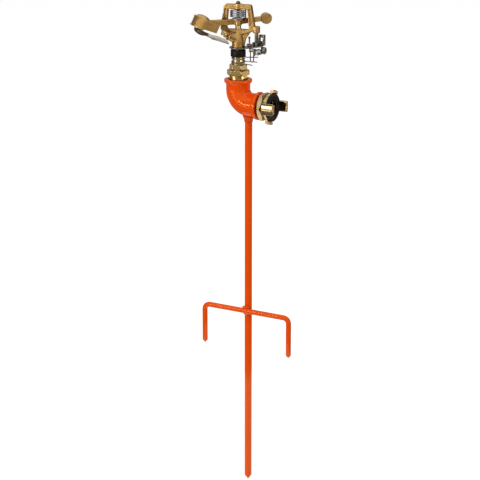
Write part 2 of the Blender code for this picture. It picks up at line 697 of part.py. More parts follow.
def across_jet(name, outline, low, high):
    # a plate parallel to the jet, between two heights square to it
    return prism(name, outline, low, high, spoon_frame())


def strike_lug():
    # meets the bridge's near post when the arm is home
    lean = math.radians(JET_AZIMUTH - BRIDGE_AZIMUTH - 180.0)
    reach = BRIDGE_THICKNESS / 2 + 0.4

    def on_face(u):
        return (u, (reach - u * math.sin(lean)) / math.cos(lean))
    return prism("lug", [on_face(13.6), on_face(21.5), (23.5, -2.5), (13.6, -2.5)], 410.5, 416.0)


def spoon_shapes():
    # the spoon's domed cover, its floor, its bent side and vane, and the rib for the blade
    top = SPOON_TOP_N
    cover = across_jet("cover", spoon_outline(), top - SPOON_WALL, top)
    height = DOME_HEIGHT
    radius = DOME_RADIUS
    dome = turned("dome", [(0.0, -0.8), (radius, -0.8), (radius, 0.5), (radius - 1.5, height - 1.9),
                           (radius - 4.4, height - 0.6), (radius - 7.2, height - 0.1), (0.0, height)],
                  20, spoon_frame() @ Matrix.Translation((57.5, -2.0, top)))
    shoulder = across_jet("shoulder", [(SPOON_ROOT_S, 2.0), (44.0, 2.0), (44.0, 8.0), (SPOON_ROOT_S, 8.0)],
                          top - SPOON_WALL, top)
    floor = across_jet("floor", floor_outline(), SPOON_FLOOR_N, SPOON_FLOOR_N + SPOON_WALL)
    side = prism("side", [(SPOON_ROOT_S, top - 0.5), (57.0, top - 0.5), (57.0, -6.7), (SPOON_ROOT_S, -4.4)],
                 -SPOON_SIDE_T, SPOON_WALL - SPOON_SIDE_T, jet_frame())
    vane = spoon_nose(SPOON_NOSE_RADIUS, 100, -8, 9) + spoon_nose(SPOON_NOSE_RADIUS - SPOON_WALL, -8, 100, 9)
    drum = across_jet("drum", vane, SPOON_FLOOR_N + 0.4, top - 0.4)
    rib = across_jet("rib", [(53.5, -1.5), (62.0, -1.5), (62.0, 2.6), (53.5, 2.6)],
                     RIVET_N - 2.5, SPOON_FLOOR_N + 0.6)
    return [cover, dome, shoulder, floor, side, drum, rib]


def make_impact_arm():
    # one casting: hub, bar, striking lug, counterweight, and the spoon that the jet drives
    thick = ARM_HALF_THICKNESS
    bar = prism("impact_arm", [(0.0, ARM_BOTTOM_Z), (30.5, ARM_BOTTOM_Z), (45.2, ARM_TOP_Z), (45.2, 417.4),
                               (41.0, ARM_TOP_Z), (0.0, ARM_TOP_Z)], -thick, thick, upright_frame())
    tail = prism("tail", [(0.0, ARM_BOTTOM_Z), (0.0, ARM_TOP_Z), (-35.0, 418.6), (-35.0, 412.4)],
                 -thick + 0.3, thick - 0.3, upright_frame())
    weight = turned("weight", [(0.0, -3.5), (6.9, -3.5), (WEIGHT_RADIUS, -2.8), (WEIGHT_RADIUS, 3.8),
                               (6.9, 4.5), (0.0, 4.5)], 28, facing((0, 1, 0), (WEIGHT_U, 0, WEIGHT_Z)))
    hub = turned("hub", [(0.0, 408.5), (5.2, 408.5), (5.2, 415.0), (8.6, 415.6), (8.6, 417.5), (0.0, 417.5)],
                 28)
    pockets = []
    for start, end in ((6.2, 15.0), (-16.0, -6.2)):
        for low, high in ((-6.0, -1.6), (1.6, 6.0)):
            panel = [(start, 411.2), (end, 411.2), (end, 414.9), (start, 414.9)]
            pockets.append(prism("pocket", panel, low, high, upright_frame()))
    bore = cylinder("hub_bore", 3.4, 400.0, 425.0, 20)
    hole = cylinder("rivet_hole", RIVET_RADIUS + GAP, -8.0, 8.0, 14, rivet_frame())
    bar = fused(bar, [tail], pockets)
    arm = fused(bar, [weight, hub] + spoon_shapes() + [strike_lug()], [bore, hole])
    return placed(paint(arm, BRASS), JET_AZIMUTH)


def rivet_frame():
    return jet_frame() @ Matrix.Translation((RIVET_S, RIVET_N, 0.0)) @ Matrix.Rotation(math.pi, 4, "X")


def make_arm_bush():
    # the olive bearing bush pressed into the hub, collared below it
    bore = PIVOT_RADIUS + GAP
    bush = turned("arm_bush", [(bore, 404.3), (4.0, 404.3), (4.0, 408.2), (3.1, 408.2), (3.1, 417.3),
                               (bore, 417.3)], 20)
    return placed(paint(bush, BRASS), JET_AZIMUTH)


def make_jet_deflector():
    # the thin steel blade below the jet, ending in a rounded tab under the spoon
    slope = (BLADE_TOP_N - BLADE_TAB_N) / BLADE_TAB_RADIUS
    tab = [(s, BLADE_TOP_N + slope * n) for s, n in arc((BLADE_TAB_S, 0.0), BLADE_TAB_RADIUS, 0, -135, 9)]
    under = [(40.0, -13.6), (35.4, -14.2), (26.8, -13.0), (10.9, -11.2)]
    over = [(10.7, -8.4), (18.4, -6.3), (29.8, -6.8), (38.1, BLADE_TOP_N)]
    blade = prism("jet_deflector", tab + under + over, -BLADE_FAR_T, -BLADE_NEAR_T, jet_frame())
    hole = cylinder("blade_hole", RIVET_RADIUS + GAP, -8.0, 8.0, 14, rivet_frame())
    return placed(paint(fused(blade, [], [hole]), STEEL), JET_AZIMUTH)


def make_deflector_rivet():
    # a shank through the rib and the blade, with a flat head at each side
    shank = RIVET_RADIUS
    head = 2 * RIVET_RADIUS
    rivet = turned("deflector_rivet", [(0.0, -2.6), (head - 0.4, -2.6), (head, -1.8), (shank, -1.8),
                                       (shank, 4.4), (head, 4.4), (head - 0.4, 5.2), (0.0, 5.2)],
                   14, rivet_frame())
    return placed(paint(rivet, STEEL), JET_AZIMUTH)


# Trip mechanism and friction collars

def make_trip_bracket():
    # pressed steel: a ring round the barrel, a rising shelf, an upright web and a spring tab
    low = TRIP_SHELF_Z
    high = TRIP_SHELF_END_Z
    web_p = TRIP_WEB_END_P
    web_q = TRIP_WEB_Q
    top = TRIP_WEB_TOP_Z
    tab_p = TRIP_TAB_P
    edge = tab_p + TRIP_SHEET
    upright = upright_frame()
    ring = turned("trip_bracket", [(8.9, low), (12.2, low), (12.2, low + TRIP_SHEET),
                                   (8.9, low + TRIP_SHEET)], 32)
    shelf = prism("shelf", [(9.6, low), (14.0, low), (edge, high), (edge, high + TRIP_SHEET),
                            (13.8, low + TRIP_SHEET), (9.6, low + TRIP_SHEET)], web_q, 5.0, upright)
    web = prism("web", [(18.0, 378.4), (web_p, 380.9), (web_p, top), (27.6, top), (26.4, 387.0),
                        (18.0, 384.0)], web_q, web_q + TRIP_SHEET, upright)
    wing = prism("wing", [(web_p - TRIP_SHEET, 382.0), (web_p, 382.0), (web_p, top),
                          (web_p - TRIP_SHEET, top)], web_q, 0.5, upright)
    tab = prism("tab", [(tab_p, 370.6), (edge, 370.6), (edge, 381.0), (tab_p, 381.0)], -3.4, 3.4, upright)
    lugs = [prism("lug", [(p, 377.6), (p + 1.3, 377.6), (p + 1.3, 383.4), (p, 383.4)], -2.6, 2.6, upright)
            for p in TRIP_LUG_PLACES]
    window = prism("web_window", [(29.8, 386.6), (32.6, 386.6), (32.6, 391.4), (29.8, 391.4)],
                   -9, -5, upright)
    slot = prism("slot", [(13.8, -4.0), (20.1, -4.0), (20.1, 4.0), (13.8, 4.0)], 370.0, 390.0)
    barrel = cylinder("barrel_hole", BARREL_RADIUS + GAP, 370.0, 390.0, 32)
    pivot = cylinder("pivot_hole", 1.5, 5.0, 30.0, 14, facing((1, 0, 0), (0, 0, TRIP_AXIS_Z)))
    stem = cylinder("stem_hole", 1.6, 30.0, 36.0, 14, facing((1, 0, 0), (0, 0, TRIP_SPRING_Z)))
    bracket = fused(ring, [shelf, web, wing, tab] + lugs, [window, slot, barrel, pivot, stem])
    return placed(paint(bracket, STEEL), BRIDGE_AZIMUTH)


def make_trip_post():
    # the waisted steel post that ties the bracket's outer end to the bridge's boss
    radius = 2.6
    waist = 2.1
    post = turned("trip_post", [(0.0, 380.9), (radius, 380.9), (radius, 383.0), (waist, 383.4),
                                (waist, 386.4), (radius, 386.8), (radius, 404.2), (0.0, 404.2)],
                  18, Matrix.Translation((BOSS_P, 0, 0)))
    return placed(paint(post, STEEL), BRIDGE_AZIMUTH)


def make_trip_pivot():
    pin = cylinder("trip_pivot", 1.2, 11.4, 22.2, 14, facing((1, 0, 0), (0, 0, TRIP_AXIS_Z)))
    return placed(paint(pin, STEEL), BRIDGE_AZIMUTH)


def make_spring_cap():
    # the round seat that holds the toggle spring's outer end
    cap = turned("spring_cap", [(0.0, 30.2), (1.3, 30.2), (1.3, 34.4), (4.4, 34.4), (5.0, 35.2), (5.0, 37.4),
                                (4.0, 39.0), (2.2, 39.6), (0.0, 39.6)], 24,
                 facing((1, 0, 0), (0, 0, TRIP_SPRING_Z)))
    return placed(paint(cap, STEEL), BRIDGE_AZIMUTH)


def make_trip_spring():
    # the toggle spring between the lever's seat and the tab, rising outwards
    direction = Vector((8.2, 0.0, 2.4))
    frame = facing(direction, (24.4, 0.0, 371.4))
    points = with_straight_ends(helix(3.9, 0.0, 4.0, 0.8, 7.3, 9), 1.0)
    return placed(wound("trip_spring", points, 0.5, STEEL, frame), BRIDGE_AZIMUTH)


def make_trip_lever():
    # rocks on the radial pivot: ball finger above, block with the spring seat below
    z = TRIP_AXIS_Z
    along = facing((1, 0, 0))
    sleeve = cylinder("trip_lever", 2.5, 14.0, 19.9, 18, along)
    finger = swept("finger", [(15.9, 0.0, 0.0, 1.1), (15.7, 0.0, 10.0, 1.0)], 3)
    ball_profile = [(0.0, -1.7)] + arc((0.0, 0.0), 1.7, -60, 60, 4) + [(0.0, 1.7)]
    ball = turned("ball", ball_profile, 14, Matrix.Translation((15.7, 0, 10.7)))
    neck = prism("neck", [(15.4, -1.2), (18.6, -1.2), (18.6, 1.2), (15.4, 1.2)], -6.0, -1.0)
    block = prism("block", [(15.6, -2.2), (23.9, -2.2), (23.9, 2.2), (15.6, 2.2)], 372.6 - z, 376.4 - z)
    seat = prism("seat", [(22.7, -3.6), (23.9, -3.6), (23.9, 3.6), (22.7, 3.6)], 367.4 - z, 376.4 - z)
    bore = cylinder("lever_bore", 1.5, 10.0, 25.0, 14, along)
    legs = [cylinder("leg_hole", TRIP_WIRE_RADIUS + GAP, -20.0, -3.0, 12, Matrix.Translation((p, 0, 0)))
            for p in TRIP_LEG_PLACES]
    lever = fused(sleeve, [finger, ball, neck, block, seat], [bore] + legs)
    return placed(paint(lever, STEEL), BRIDGE_AZIMUTH, z)


def make_trip_wire():
    # the hairpin that the collars' tails strike
    near, far = TRIP_LEG_PLACES
    half = (far - near) / 2
    top = TRIP_WIRE_TOP_Z - TRIP_AXIS_Z
    centre = (near + half, TRIP_WIRE_BOTTOM_Z + half - TRIP_AXIS_Z)
    line = [(near, top)] + arc(centre, half, 180, 360, 6) + [(far, top)]
    wire = swept("trip_wire", [(p, 0.0, height, TRIP_WIRE_RADIUS) for p, height in line], 3)
    return placed(paint(wire, STEEL), BRIDGE_AZIMUTH, TRIP_AXIS_Z)


def make_friction_collar(name, low, high, start, turns, tails):
    # a torsion clip gripping the nipple's stem; both wire ends stand out as tails
    radius = (NIPPLE_STEM_RADIUS + GAP / 2 + COLLAR_WIRE_RADIUS) / math.cos(math.pi / 10)
    coil = helix(radius, start, turns, low, high, 10)

    def tail(azimuth, reach, height, drop):
        a = math.radians(azimuth)
        near = radius + 2.6
        return [(reach * math.cos(a), reach * math.sin(a), height - drop),
                (near * math.cos(a), near * math.sin(a), height)]
    first, last = tails
    points = tail(*first) + coil + list(reversed(tail(*last)))
    return placed(wound(name, points, COLLAR_WIRE_RADIUS, STEEL, skip=6))


def make_friction_collars():
    make_friction_collar("friction_collar_upper", 364.1, 362.0, 48.0, 1.12,
                         ((29.0, 27.4, 364.1, 0.0), (110.0, 14.5, 362.0, 0.0)))
    make_friction_collar("friction_collar_lower", 359.6, 356.2, 21.0, 1.85,
                         ((-1.0, 30.0, 359.6, -0.6), (-12.0, 25.5, 356.4, 0.2)))


def main():
    clear_scene()
    make_ground_rod()
    make_foot_bar()
    make_foot_weld("foot_weld_upper", 2 * BAR_RADIUS + 0.6, -1.0)
    make_foot_weld("foot_weld_lower", -0.6, 0.6)
    make_elbow_weld()
    make_pipe_elbow()
    make_coupling_body()
    make_coupling_seal()
    make_reducing_bush()
    make_bearing_nipple()
    make_bearing_sleeve()
    make_ring("thrust_washer", 6.5, 9.3, 327.4, 328.9, NYLON)
    make_ring("seal_washer", 6.5, 9.3, 329.2, 330.7, RUBBER)
    make_ring("spring_washer", 6.5, 9.0, 365.5, 366.2, BRASS)
    make_thrust_spring()
    make_dust_sleeve()
    make_sprinkler_body()
    make_nozzle()
    make_pivot_pin()
    make_ring("arm_washer", 2.6, 4.6, 403.3, 404.0, NYLON, 20)
    make_arm_spring()
    make_impact_arm()
    make_arm_bush()
    make_jet_deflector()
    make_deflector_rivet()
    make_trip_bracket()
    make_trip_post()
    make_trip_pivot()
    make_spring_cap()
    make_trip_spring()
    make_trip_lever()
    make_trip_wire()
    make_friction_collars()


main()
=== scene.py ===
# Look of a brass impact sprinkler on an orange ground rod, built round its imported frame.
import math

import bmesh
import bpy
from mathutils import Matrix, Vector, noise


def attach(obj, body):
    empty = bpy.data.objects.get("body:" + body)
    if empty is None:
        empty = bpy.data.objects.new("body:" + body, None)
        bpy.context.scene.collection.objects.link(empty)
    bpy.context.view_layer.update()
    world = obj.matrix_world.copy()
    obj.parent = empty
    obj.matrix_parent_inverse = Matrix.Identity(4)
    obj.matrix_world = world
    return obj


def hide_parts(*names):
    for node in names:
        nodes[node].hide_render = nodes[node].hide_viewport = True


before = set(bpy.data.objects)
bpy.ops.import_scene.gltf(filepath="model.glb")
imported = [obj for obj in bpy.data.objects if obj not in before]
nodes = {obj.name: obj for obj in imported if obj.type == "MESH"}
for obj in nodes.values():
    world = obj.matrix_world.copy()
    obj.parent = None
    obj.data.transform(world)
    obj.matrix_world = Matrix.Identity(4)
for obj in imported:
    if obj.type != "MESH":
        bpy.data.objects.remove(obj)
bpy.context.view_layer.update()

scene = bpy.context.scene
mm = 0.001
headX = -16.3          # the head turns about this upright line, in mm
elbowZ = 299.8         # height of the elbow's side mouth
jetZ = 388.5           # height at which the jet's line starts from the head's
bridgeTurn = 14.0      # degrees, the bridge and the trip
jetTurn = 226.0        # degrees, the jet and the arm at rest
print("frame loaded:", len(nodes), "nodes")


def freshTree(name):
    material = bpy.data.materials.new(name)
    material.use_nodes = True
    tree = material.node_tree
    shader = tree.nodes["Principled BSDF"]
    shader.location = (600, 0)
    return material, tree, shader


def put(tree, kind, x, y, **settings):
    node = tree.nodes.new(kind)
    node.location = (x, y)
    for key, value in settings.items():
        setattr(node, key, value)
    return node


def setInputs(node, **values):
    # socket names are written with _ for a space
    for label, value in values.items():
        node.inputs[label.replace("_", " ")].default_value = value
    return node


def wire(tree, *pairs):
    for start, end in pairs:
        tree.links.new(start, end)


def newGroup(name, inputs, outputs):
    # an effect that materials share: inputs with their first values, outputs with their kinds
    group = bpy.data.node_groups.new(name, "ShaderNodeTree")
    for label, value in inputs.items():
        kind = "NodeSocketVector" if isinstance(value, tuple) else "NodeSocketFloat"
        socket = group.interface.new_socket(name=label, in_out="INPUT", socket_type=kind)
        socket.default_value = value
    for label, kind in outputs.items():
        group.interface.new_socket(name=label, in_out="OUTPUT", socket_type="NodeSocket" + kind)
    start = put(group, "NodeGroupInput", -900, 0)
    end = put(group, "NodeGroupOutput", 700, 0)
    return group, start, end


def place(tree, group, x, y, **values):
    node = put(tree, "ShaderNodeGroup", x, y)
    node.node_tree = group
    return setInputs(node, **values)


def reckon(tree, x, y, operation, *values, **settings):
    # one step of arithmetic on sockets and numbers
    step = put(tree, "ShaderNodeMath", x, y, operation=operation, **settings)
    for socket, value in zip(step.inputs, values):
        if isinstance(value, float):
            socket.default_value = value
        else:
            tree.links.new(value, socket)
    return step.outputs[0]


def spread(tree, x, y, value, low, high, toLow=0.0, toHigh=1.0):
    ramp = put(tree, "ShaderNodeMapRange", x, y)
    for index, number in ((1, low), (2, high), (3, toLow), (4, toHigh)):
        ramp.inputs[index].default_value = number
    tree.links.new(value, ramp.inputs[0])
    return ramp.outputs[0]


def vary(tree, x, y, mask, least, more):
    # from the least value where the mask is black to as much more where it is white
    return spread(tree, x, y, mask, 0.0, 1.0, least, least + more)


def blendColours(tree, x, y, factor, first, second):
    mix = put(tree, "ShaderNodeMix", x, y, data_type="RGBA")
    for socket, value in ((mix.inputs[0], factor), (mix.inputs[6], first), (mix.inputs[7], second)):
        if isinstance(value, tuple):
            socket.default_value = (*value, 1.0)
        else:
            tree.links.new(value, socket)
    return mix.outputs[2]


def wash(tree, x, y, mask, amount, under, over):
    # lays a second colour over the first where the mask shows
    return blendColours(tree, x, y, vary(tree, x - 200, y - 200, mask, 0.0, amount), under, over)


def dress(tree, shader, colour, rough, height, corner, values):
    # leads colour, roughness and a bump over the softened edges into the shader
    bump = put(tree, "ShaderNodeBump", -300, -400)
    setInputs(bump, Strength=values["depth"], Distance=values["bumpReach"])
    wire(tree, (height, bump.inputs["Height"]), (corner["Soft Normal"], bump.inputs["Normal"]),
         (colour, shader.inputs["Base Color"]), (rough, shader.inputs["Roughness"]),
         (bump.outputs[0], shader.inputs["Normal"]))


def makeMottle():
    # two sizes of soft cloudiness, for tarnish and uneven colour
    group, start, end = newGroup("mottle", {"Size": 60.0, "Contrast": 1.0}, {"Cloud": "Float", "Fleck": "Float"})
    where = put(group, "ShaderNodeTexCoord", -900, -300).outputs["Object"]
    broad = setInputs(put(group, "ShaderNodeTexNoise", -600, 100), Detail=3.0, Roughness=0.6)
    fleck = setInputs(put(group, "ShaderNodeTexNoise", -600, -200), Detail=2.0)
    finer = reckon(group, -750, -120, "MULTIPLY", start.outputs["Size"], 9.0)
    wire(group, (where, broad.inputs["Vector"]), (where, fleck.inputs["Vector"]),
         (start.outputs["Size"], broad.inputs["Scale"]), (finer, fleck.inputs["Scale"]))
    centred = reckon(group, -350, 100, "SUBTRACT", broad.outputs["Fac"], 0.5)
    cloud = reckon(group, -180, 100, "MULTIPLY_ADD", centred, start.outputs["Contrast"], 0.5, use_clamp=True)
    spots = spread(group, -300, -200, fleck.outputs["Fac"], 0.52, 0.72)
    wire(group, (cloud, end.inputs["Cloud"]), (spots, end.inputs["Fleck"]))
    return group


def makeCorners():
    # where edges are rubbed bright, and an occlusion mask for painted shade and grime in the corners
    group, start, end = newGroup("corners", {"Edge Width": 0.0006, "Hollow Reach": 0.006},
                                 {"Edges": "Float", "Hollows": "Float", "Soft Normal": "Vector"})
    soft = put(group, "ShaderNodeBevel", -600, 150, samples=6)
    true = put(group, "ShaderNodeNewGeometry", -600, -50)
    match = put(group, "ShaderNodeVectorMath", -350, 100, operation="DOT_PRODUCT")
    shade = put(group, "ShaderNodeAmbientOcclusion", -600, -300, samples=8)
    wire(group, (start.outputs["Edge Width"], soft.inputs["Radius"]), (soft.outputs[0], match.inputs[0]),
         (true.outputs["Normal"], match.inputs[1]), (start.outputs["Hollow Reach"], shade.inputs["Distance"]))
    edges = spread(group, -150, 100, match.outputs["Value"], 0.995, 0.90)
    # the occlusion mask: what the finishes darken with it is painted shade
    hollows = spread(group, -350, -300, shade.outputs["AO"], 0.85, 0.25)
    wire(group, (edges, end.inputs["Edges"]), (hollows, end.inputs["Hollows"]),
         (soft.outputs[0], end.inputs["Soft Normal"]))
    return group


def makeCastGrain():
    # the fine sandy skin of a casting
    group, start, end = newGroup("castGrain", {"Grain Size": 1500.0, "Dimple Size": 350.0}, {"Height": "Float"})
    where = put(group, "ShaderNodeTexCoord", -900, -300).outputs["Object"]
    sand = setInputs(put(group, "ShaderNodeTexNoise", -600, 100), Detail=3.0)
    dimples = put(group, "ShaderNodeTexVoronoi", -600, -150, feature="SMOOTH_F1")
    wire(group, (where, sand.inputs["Vector"]), (where, dimples.inputs["Vector"]),
         (start.outputs["Grain Size"], sand.inputs["Scale"]), (start.outputs["Dimple Size"], dimples.inputs["Scale"]))
    height = reckon(group, -300, 0, "MULTIPLY_ADD", dimples.outputs["Distance"], 0.35, sand.outputs["Fac"])
    wire(group, (height, end.inputs["Height"]))
    return group


def makeRoundPatch():
    # one where the surface lies within a distance of a point, for an end darkened with painted shade
    group, start, end = newGroup("roundPatch", {"Centre": (0.0, 0.0, 0.0), "Radius": 0.01}, {"Inside": "Float"})
    where = put(group, "ShaderNodeTexCoord", -700, 0).outputs["Object"]
    apart = put(group, "ShaderNodeVectorMath", -500, 0, operation="DISTANCE")
    wire(group, (where, apart.inputs[0]), (start.outputs["Centre"], apart.inputs[1]))
    within = reckon(group, -300, 0, "SUBTRACT", start.outputs["Radius"], apart.outputs["Value"])
    wire(group, (spread(group, -100, 0, within, -0.0001, 0.0002), end.inputs["Inside"]))
    return group


def makeToolMarks():
    # fine rings that a lathe or a drawing die leaves, crossed by short scratches
    group, start, end = newGroup("toolMarks", {"Ring Scale": 400.0, "Scratch Scale": 120.0, "Axis": (0.0, 0.0, 1.0)},
                                 {"Height": "Float", "Streak": "Float"})
    where = put(group, "ShaderNodeTexCoord", -900, -300).outputs["Object"]
    along = put(group, "ShaderNodeVectorMath", -700, 100, operation="DOT_PRODUCT")
    wire(group, (where, along.inputs[0]), (start.outputs["Axis"], along.inputs[1]))
    level = reckon(group, -520, 100, "MULTIPLY", along.outputs["Value"], start.outputs["Ring Scale"])
    rings = setInputs(put(group, "ShaderNodeTexNoise", -340, 100, noise_dimensions="1D"), Scale=3.0, Detail=2.0)
    scratch = setInputs(put(group, "ShaderNodeTexNoise", -340, -150), Detail=4.0, Distortion=1.5)
    wire(group, (level, rings.inputs["W"]), (where, scratch.inputs["Vector"]),
         (start.outputs["Scratch Scale"], scratch.inputs["Scale"]))
    height = reckon(group, -100, 0, "MULTIPLY_ADD", scratch.outputs["Fac"], 0.3, rings.outputs["Fac"])
    streak = spread(group, -100, -200, scratch.outputs["Fac"], 0.4, 0.65)
    wire(group, (height, end.inputs["Height"]), (streak, end.inputs["Streak"]))
    return group


mottle = makeMottle()
corners = makeCorners()
castGrain = makeCastGrain()
toolMarks = makeToolMarks()
roundPatch = makeRoundPatch()
print("shared effects made")


def startFinish(name, values):
    # a fresh material with the clouds and the corners that every finish starts from
    material, tree, shader = freshTree(name)
    cloud = place(tree, mottle, -1100, 250, Size=values["stainSize"], Contrast=values["stainContrast"])
    corner = place(tree, corners, -1100, -50, Edge_Width=values["edge"], Hollow_Reach=values["reach"])
    return material, tree, shader, cloud.outputs, corner.outputs


# In each finish the first values are its colours. Sizes on the surface ("edge", "reach", "bumpReach") are in
# metres, and "stainSize", "grain" and "skinSize" grow as the pattern gets finer.
enamelShared = {"cloudy": 0.22, "cornerShade": 0.55, "worn": 0.35, "flecks": 0.06, "stainSize": 45.0,
                "stainContrast": 1.6, "edge": 0.0009, "reach": 0.010, "bumpReach": 0.0006}
orangePaint = {"colour": (0.88, 0.080, 0.001), "deep": (0.54, 0.038, 0.001), "chip": (0.95, 0.16, 0.01),
               "roughness": 0.11, "shine": 0.56, "tint": (1.0, 0.72, 0.30)}
enamelLooks = {
    "orangeEnamel": {**orangePaint, "depth": 0.10, "skinSize": 260.0},
    "orangeWeldEnamel": {**orangePaint, "depth": 0.45, "skinSize": 420.0},
}


def makeEnamel(name, values):
    # thick glossy paint, thin on edges, and darker in its corners with painted shade
    material, tree, shader, cloud, corner = startFinish(name, values)
    colour = wash(tree, -500, 250, cloud["Cloud"], values["cloudy"], values["colour"], values["deep"])
    # painted shade: the deep colour laid into the corners where the occlusion mask is dark
    colour = wash(tree, -300, 250, corner["Hollows"], values["cornerShade"], colour, values["deep"])
    colour = wash(tree, -100, 250, corner["Edges"], values["worn"], colour, values["chip"])
    rough = vary(tree, -300, -100, cloud["Fleck"], values["roughness"], values["flecks"])
    where = put(tree, "ShaderNodeTexCoord", -900, -450)
    skin = setInputs(put(tree, "ShaderNodeTexNoise", -700, -450), Scale=values["skinSize"], Detail=1.5)
    wire(tree, (where.outputs["Object"], skin.inputs["Vector"]))
    dress(tree, shader, colour, rough, skin.outputs["Fac"], corner, values)
    setInputs(shader, Specular_IOR_Level=values["shine"], Specular_Tint=(*values["tint"], 1.0))
    return material


brassShared = {"cast": False, "depth": 0.03, "flecks": 0.35, "bumpReach": 0.0004}
brassLooks = {
    "castBrass": {"colour": (0.66, 0.43, 0.175), "stain": (0.45, 0.27, 0.095), "hollow": (0.10, 0.045, 0.012),
                  "bright": (0.90, 0.70, 0.40), "shadeAndDirt": 0.9, "rub": 0.6, "stainSize": 70.0, "stainContrast": 1.8,
                  "edge": 0.0007, "reach": 0.009, "cast": True, "grain": 1400.0, "depth": 0.30,
                  "roughness": 0.28, "dull": 0.14},
    "turnedBrass": {"colour": (0.77, 0.57, 0.26), "stain": (0.60, 0.45, 0.18), "hollow": (0.12, 0.07, 0.02),
                    "bright": (0.90, 0.78, 0.46), "shadeAndDirt": 0.30, "rub": 0.6, "stainSize": 110.0,
                    "stainContrast": 1.2, "edge": 0.0004, "reach": 0.005, "grain": 900.0, "roughness": 0.13,
                    "dull": 0.07},
    "polishedBrass": {"colour": (0.76, 0.60, 0.31), "stain": (0.62, 0.47, 0.21), "hollow": (0.16, 0.10, 0.03),
                      "bright": (0.95, 0.86, 0.60), "shadeAndDirt": 0.15, "rub": 0.4, "stainSize": 110.0,
                      "stainContrast": 1.6, "edge": 0.0003, "reach": 0.004, "grain": 1400.0, "roughness": 0.11,
                      "dull": 0.06},
    "couplingBrass": {"colour": (0.74, 0.58, 0.34), "stain": (0.46, 0.31, 0.14), "hollow": (0.10, 0.06, 0.02),
                      "bright": (0.92, 0.80, 0.52), "shadeAndDirt": 0.5, "rub": 0.3, "stainSize": 90.0,
                      "stainContrast": 2.0, "edge": 0.0006, "reach": 0.007, "cast": True, "grain": 1900.0,
                      "roughness": 0.12, "dull": 0.10},
}


def makeBrass(name, values):
    # yellow metal, darkened brown in its corners with painted shade and tarnish, and bright on rubbed edges
    material, tree, shader, cloud, corner = startFinish(name, values)
    if values["cast"]:
        marks = place(tree, castGrain, -1100, -400, Grain_Size=values["grain"]).outputs
    else:
        marks = place(tree, toolMarks, -1100, -400, Ring_Scale=values["grain"]).outputs
    colour = blendColours(tree, -700, 300, cloud["Cloud"], values["colour"], values["stain"])
    colour = wash(tree, -500, 300, cloud["Fleck"], values["flecks"], colour, values["stain"])
    # painted shade and tarnish: the hollow colour laid in where the occlusion mask is dark
    colour = wash(tree, -300, 300, corner["Hollows"], values["shadeAndDirt"], colour, values["hollow"])
    colour = wash(tree, -100, 300, corner["Edges"], values["rub"], colour, values["bright"])
    rough = vary(tree, -500, -150, cloud["Cloud"], values["roughness"], values["dull"])
    dress(tree, shader, colour, rough, marks["Height"], corner, values)
    setInputs(shader, Metallic=1.0)
    return material


steelShared = {"axis": (0.0, 0.0, 1.0), "rub": 0.5, "stainContrast": 1.8, "edge": 0.0003, "dull": 0.15,
               "bumpReach": 0.0002}
steelLooks = {
    "pressedSteel": {"colour": (0.31, 0.30, 0.29), "stain": (0.15, 0.145, 0.14), "hollow": (0.03, 0.03, 0.03),
                     "bright": (0.75, 0.75, 0.75), "shadeAndDirt": 0.9, "stainSize": 120.0, "reach": 0.006,
                     "grain": 700.0, "depth": 0.15, "roughness": 0.28},
    "springSteel": {"colour": (0.46, 0.47, 0.50), "stain": (0.28, 0.29, 0.32), "hollow": (0.05, 0.05, 0.05),
                    "bright": (0.90, 0.90, 0.90), "shadeAndDirt": 0.8, "stainSize": 200.0, "reach": 0.004,
                    "grain": 1500.0, "depth": 0.08, "roughness": 0.18},
    # the blade's long reach and strong hollow wash paint shade under the spoon, and its darkened end is painted shade
    # too
    "bladeSteel": {"colour": (0.86, 0.86, 0.86), "stain": (0.72, 0.715, 0.71), "hollow": (0.10, 0.085, 0.07),
                   "bright": (0.88, 0.88, 0.88), "shadeAndDirt": 0.95, "stainSize": 90.0, "reach": 0.014,
                   "grain": 900.0, "depth": 0.12, "roughness": 0.30, "axis": (0.7, 0.7, 0.0),
                   "shadedEnd": (0.14, 0.105, 0.08), "shadedEndCentre": (-0.05034, -0.04028, 0.40446),
                   "shadedEndRadius": 0.0113},
    "darkSteel": {"colour": (0.20, 0.19, 0.18), "stain": (0.10, 0.09, 0.08), "hollow": (0.02, 0.02, 0.02),
                  "bright": (0.55, 0.53, 0.50), "shadeAndDirt": 0.9, "stainSize": 160.0, "reach": 0.004,
                  "grain": 1200.0, "depth": 0.12, "roughness": 0.26},
    "wireSteel": {"colour": (0.40, 0.385, 0.35), "stain": (0.24, 0.225, 0.20), "hollow": (0.06, 0.055, 0.04),
                  "bright": (0.80, 0.78, 0.72), "shadeAndDirt": 0.35, "stainSize": 160.0, "reach": 0.003,
                  "grain": 1200.0, "depth": 0.05, "roughness": 0.16},
}


def makeSteel(name, values):
    # drawn or pressed steel with fine marks, painted shade and grime in its corners, and an end darkened with painted
    # shade where its look has one
    material, tree, shader, cloud, corner = startFinish(name, values)
    marks = place(tree, toolMarks, -900, -350, Ring_Scale=values["grain"], Axis=values["axis"]).outputs
    colour = blendColours(tree, -500, 250, cloud["Cloud"], values["colour"], values["stain"])
    # painted shade and grime: the hollow colour laid in where the occlusion mask is dark
    colour = wash(tree, -300, 250, corner["Hollows"], values["shadeAndDirt"], colour, values["hollow"])
    colour = wash(tree, -100, 250, corner["Edges"], values["rub"], colour, values["bright"])
    # painted shade: the blade's end under the spoon is darkened inside a round patch
    if "shadedEnd" in values:
        patch = place(tree, roundPatch, -300, 450, Centre=values["shadedEndCentre"], Radius=values["shadedEndRadius"])
        colour = blendColours(tree, 100, 350, patch.outputs["Inside"], colour, values["shadedEnd"])
    rough = vary(tree, -500, -150, marks["Streak"], values["roughness"], values["dull"])
    dress(tree, shader, colour, rough, marks["Height"], corner, values)
    setInputs(shader, Metallic=1.0)
    return material


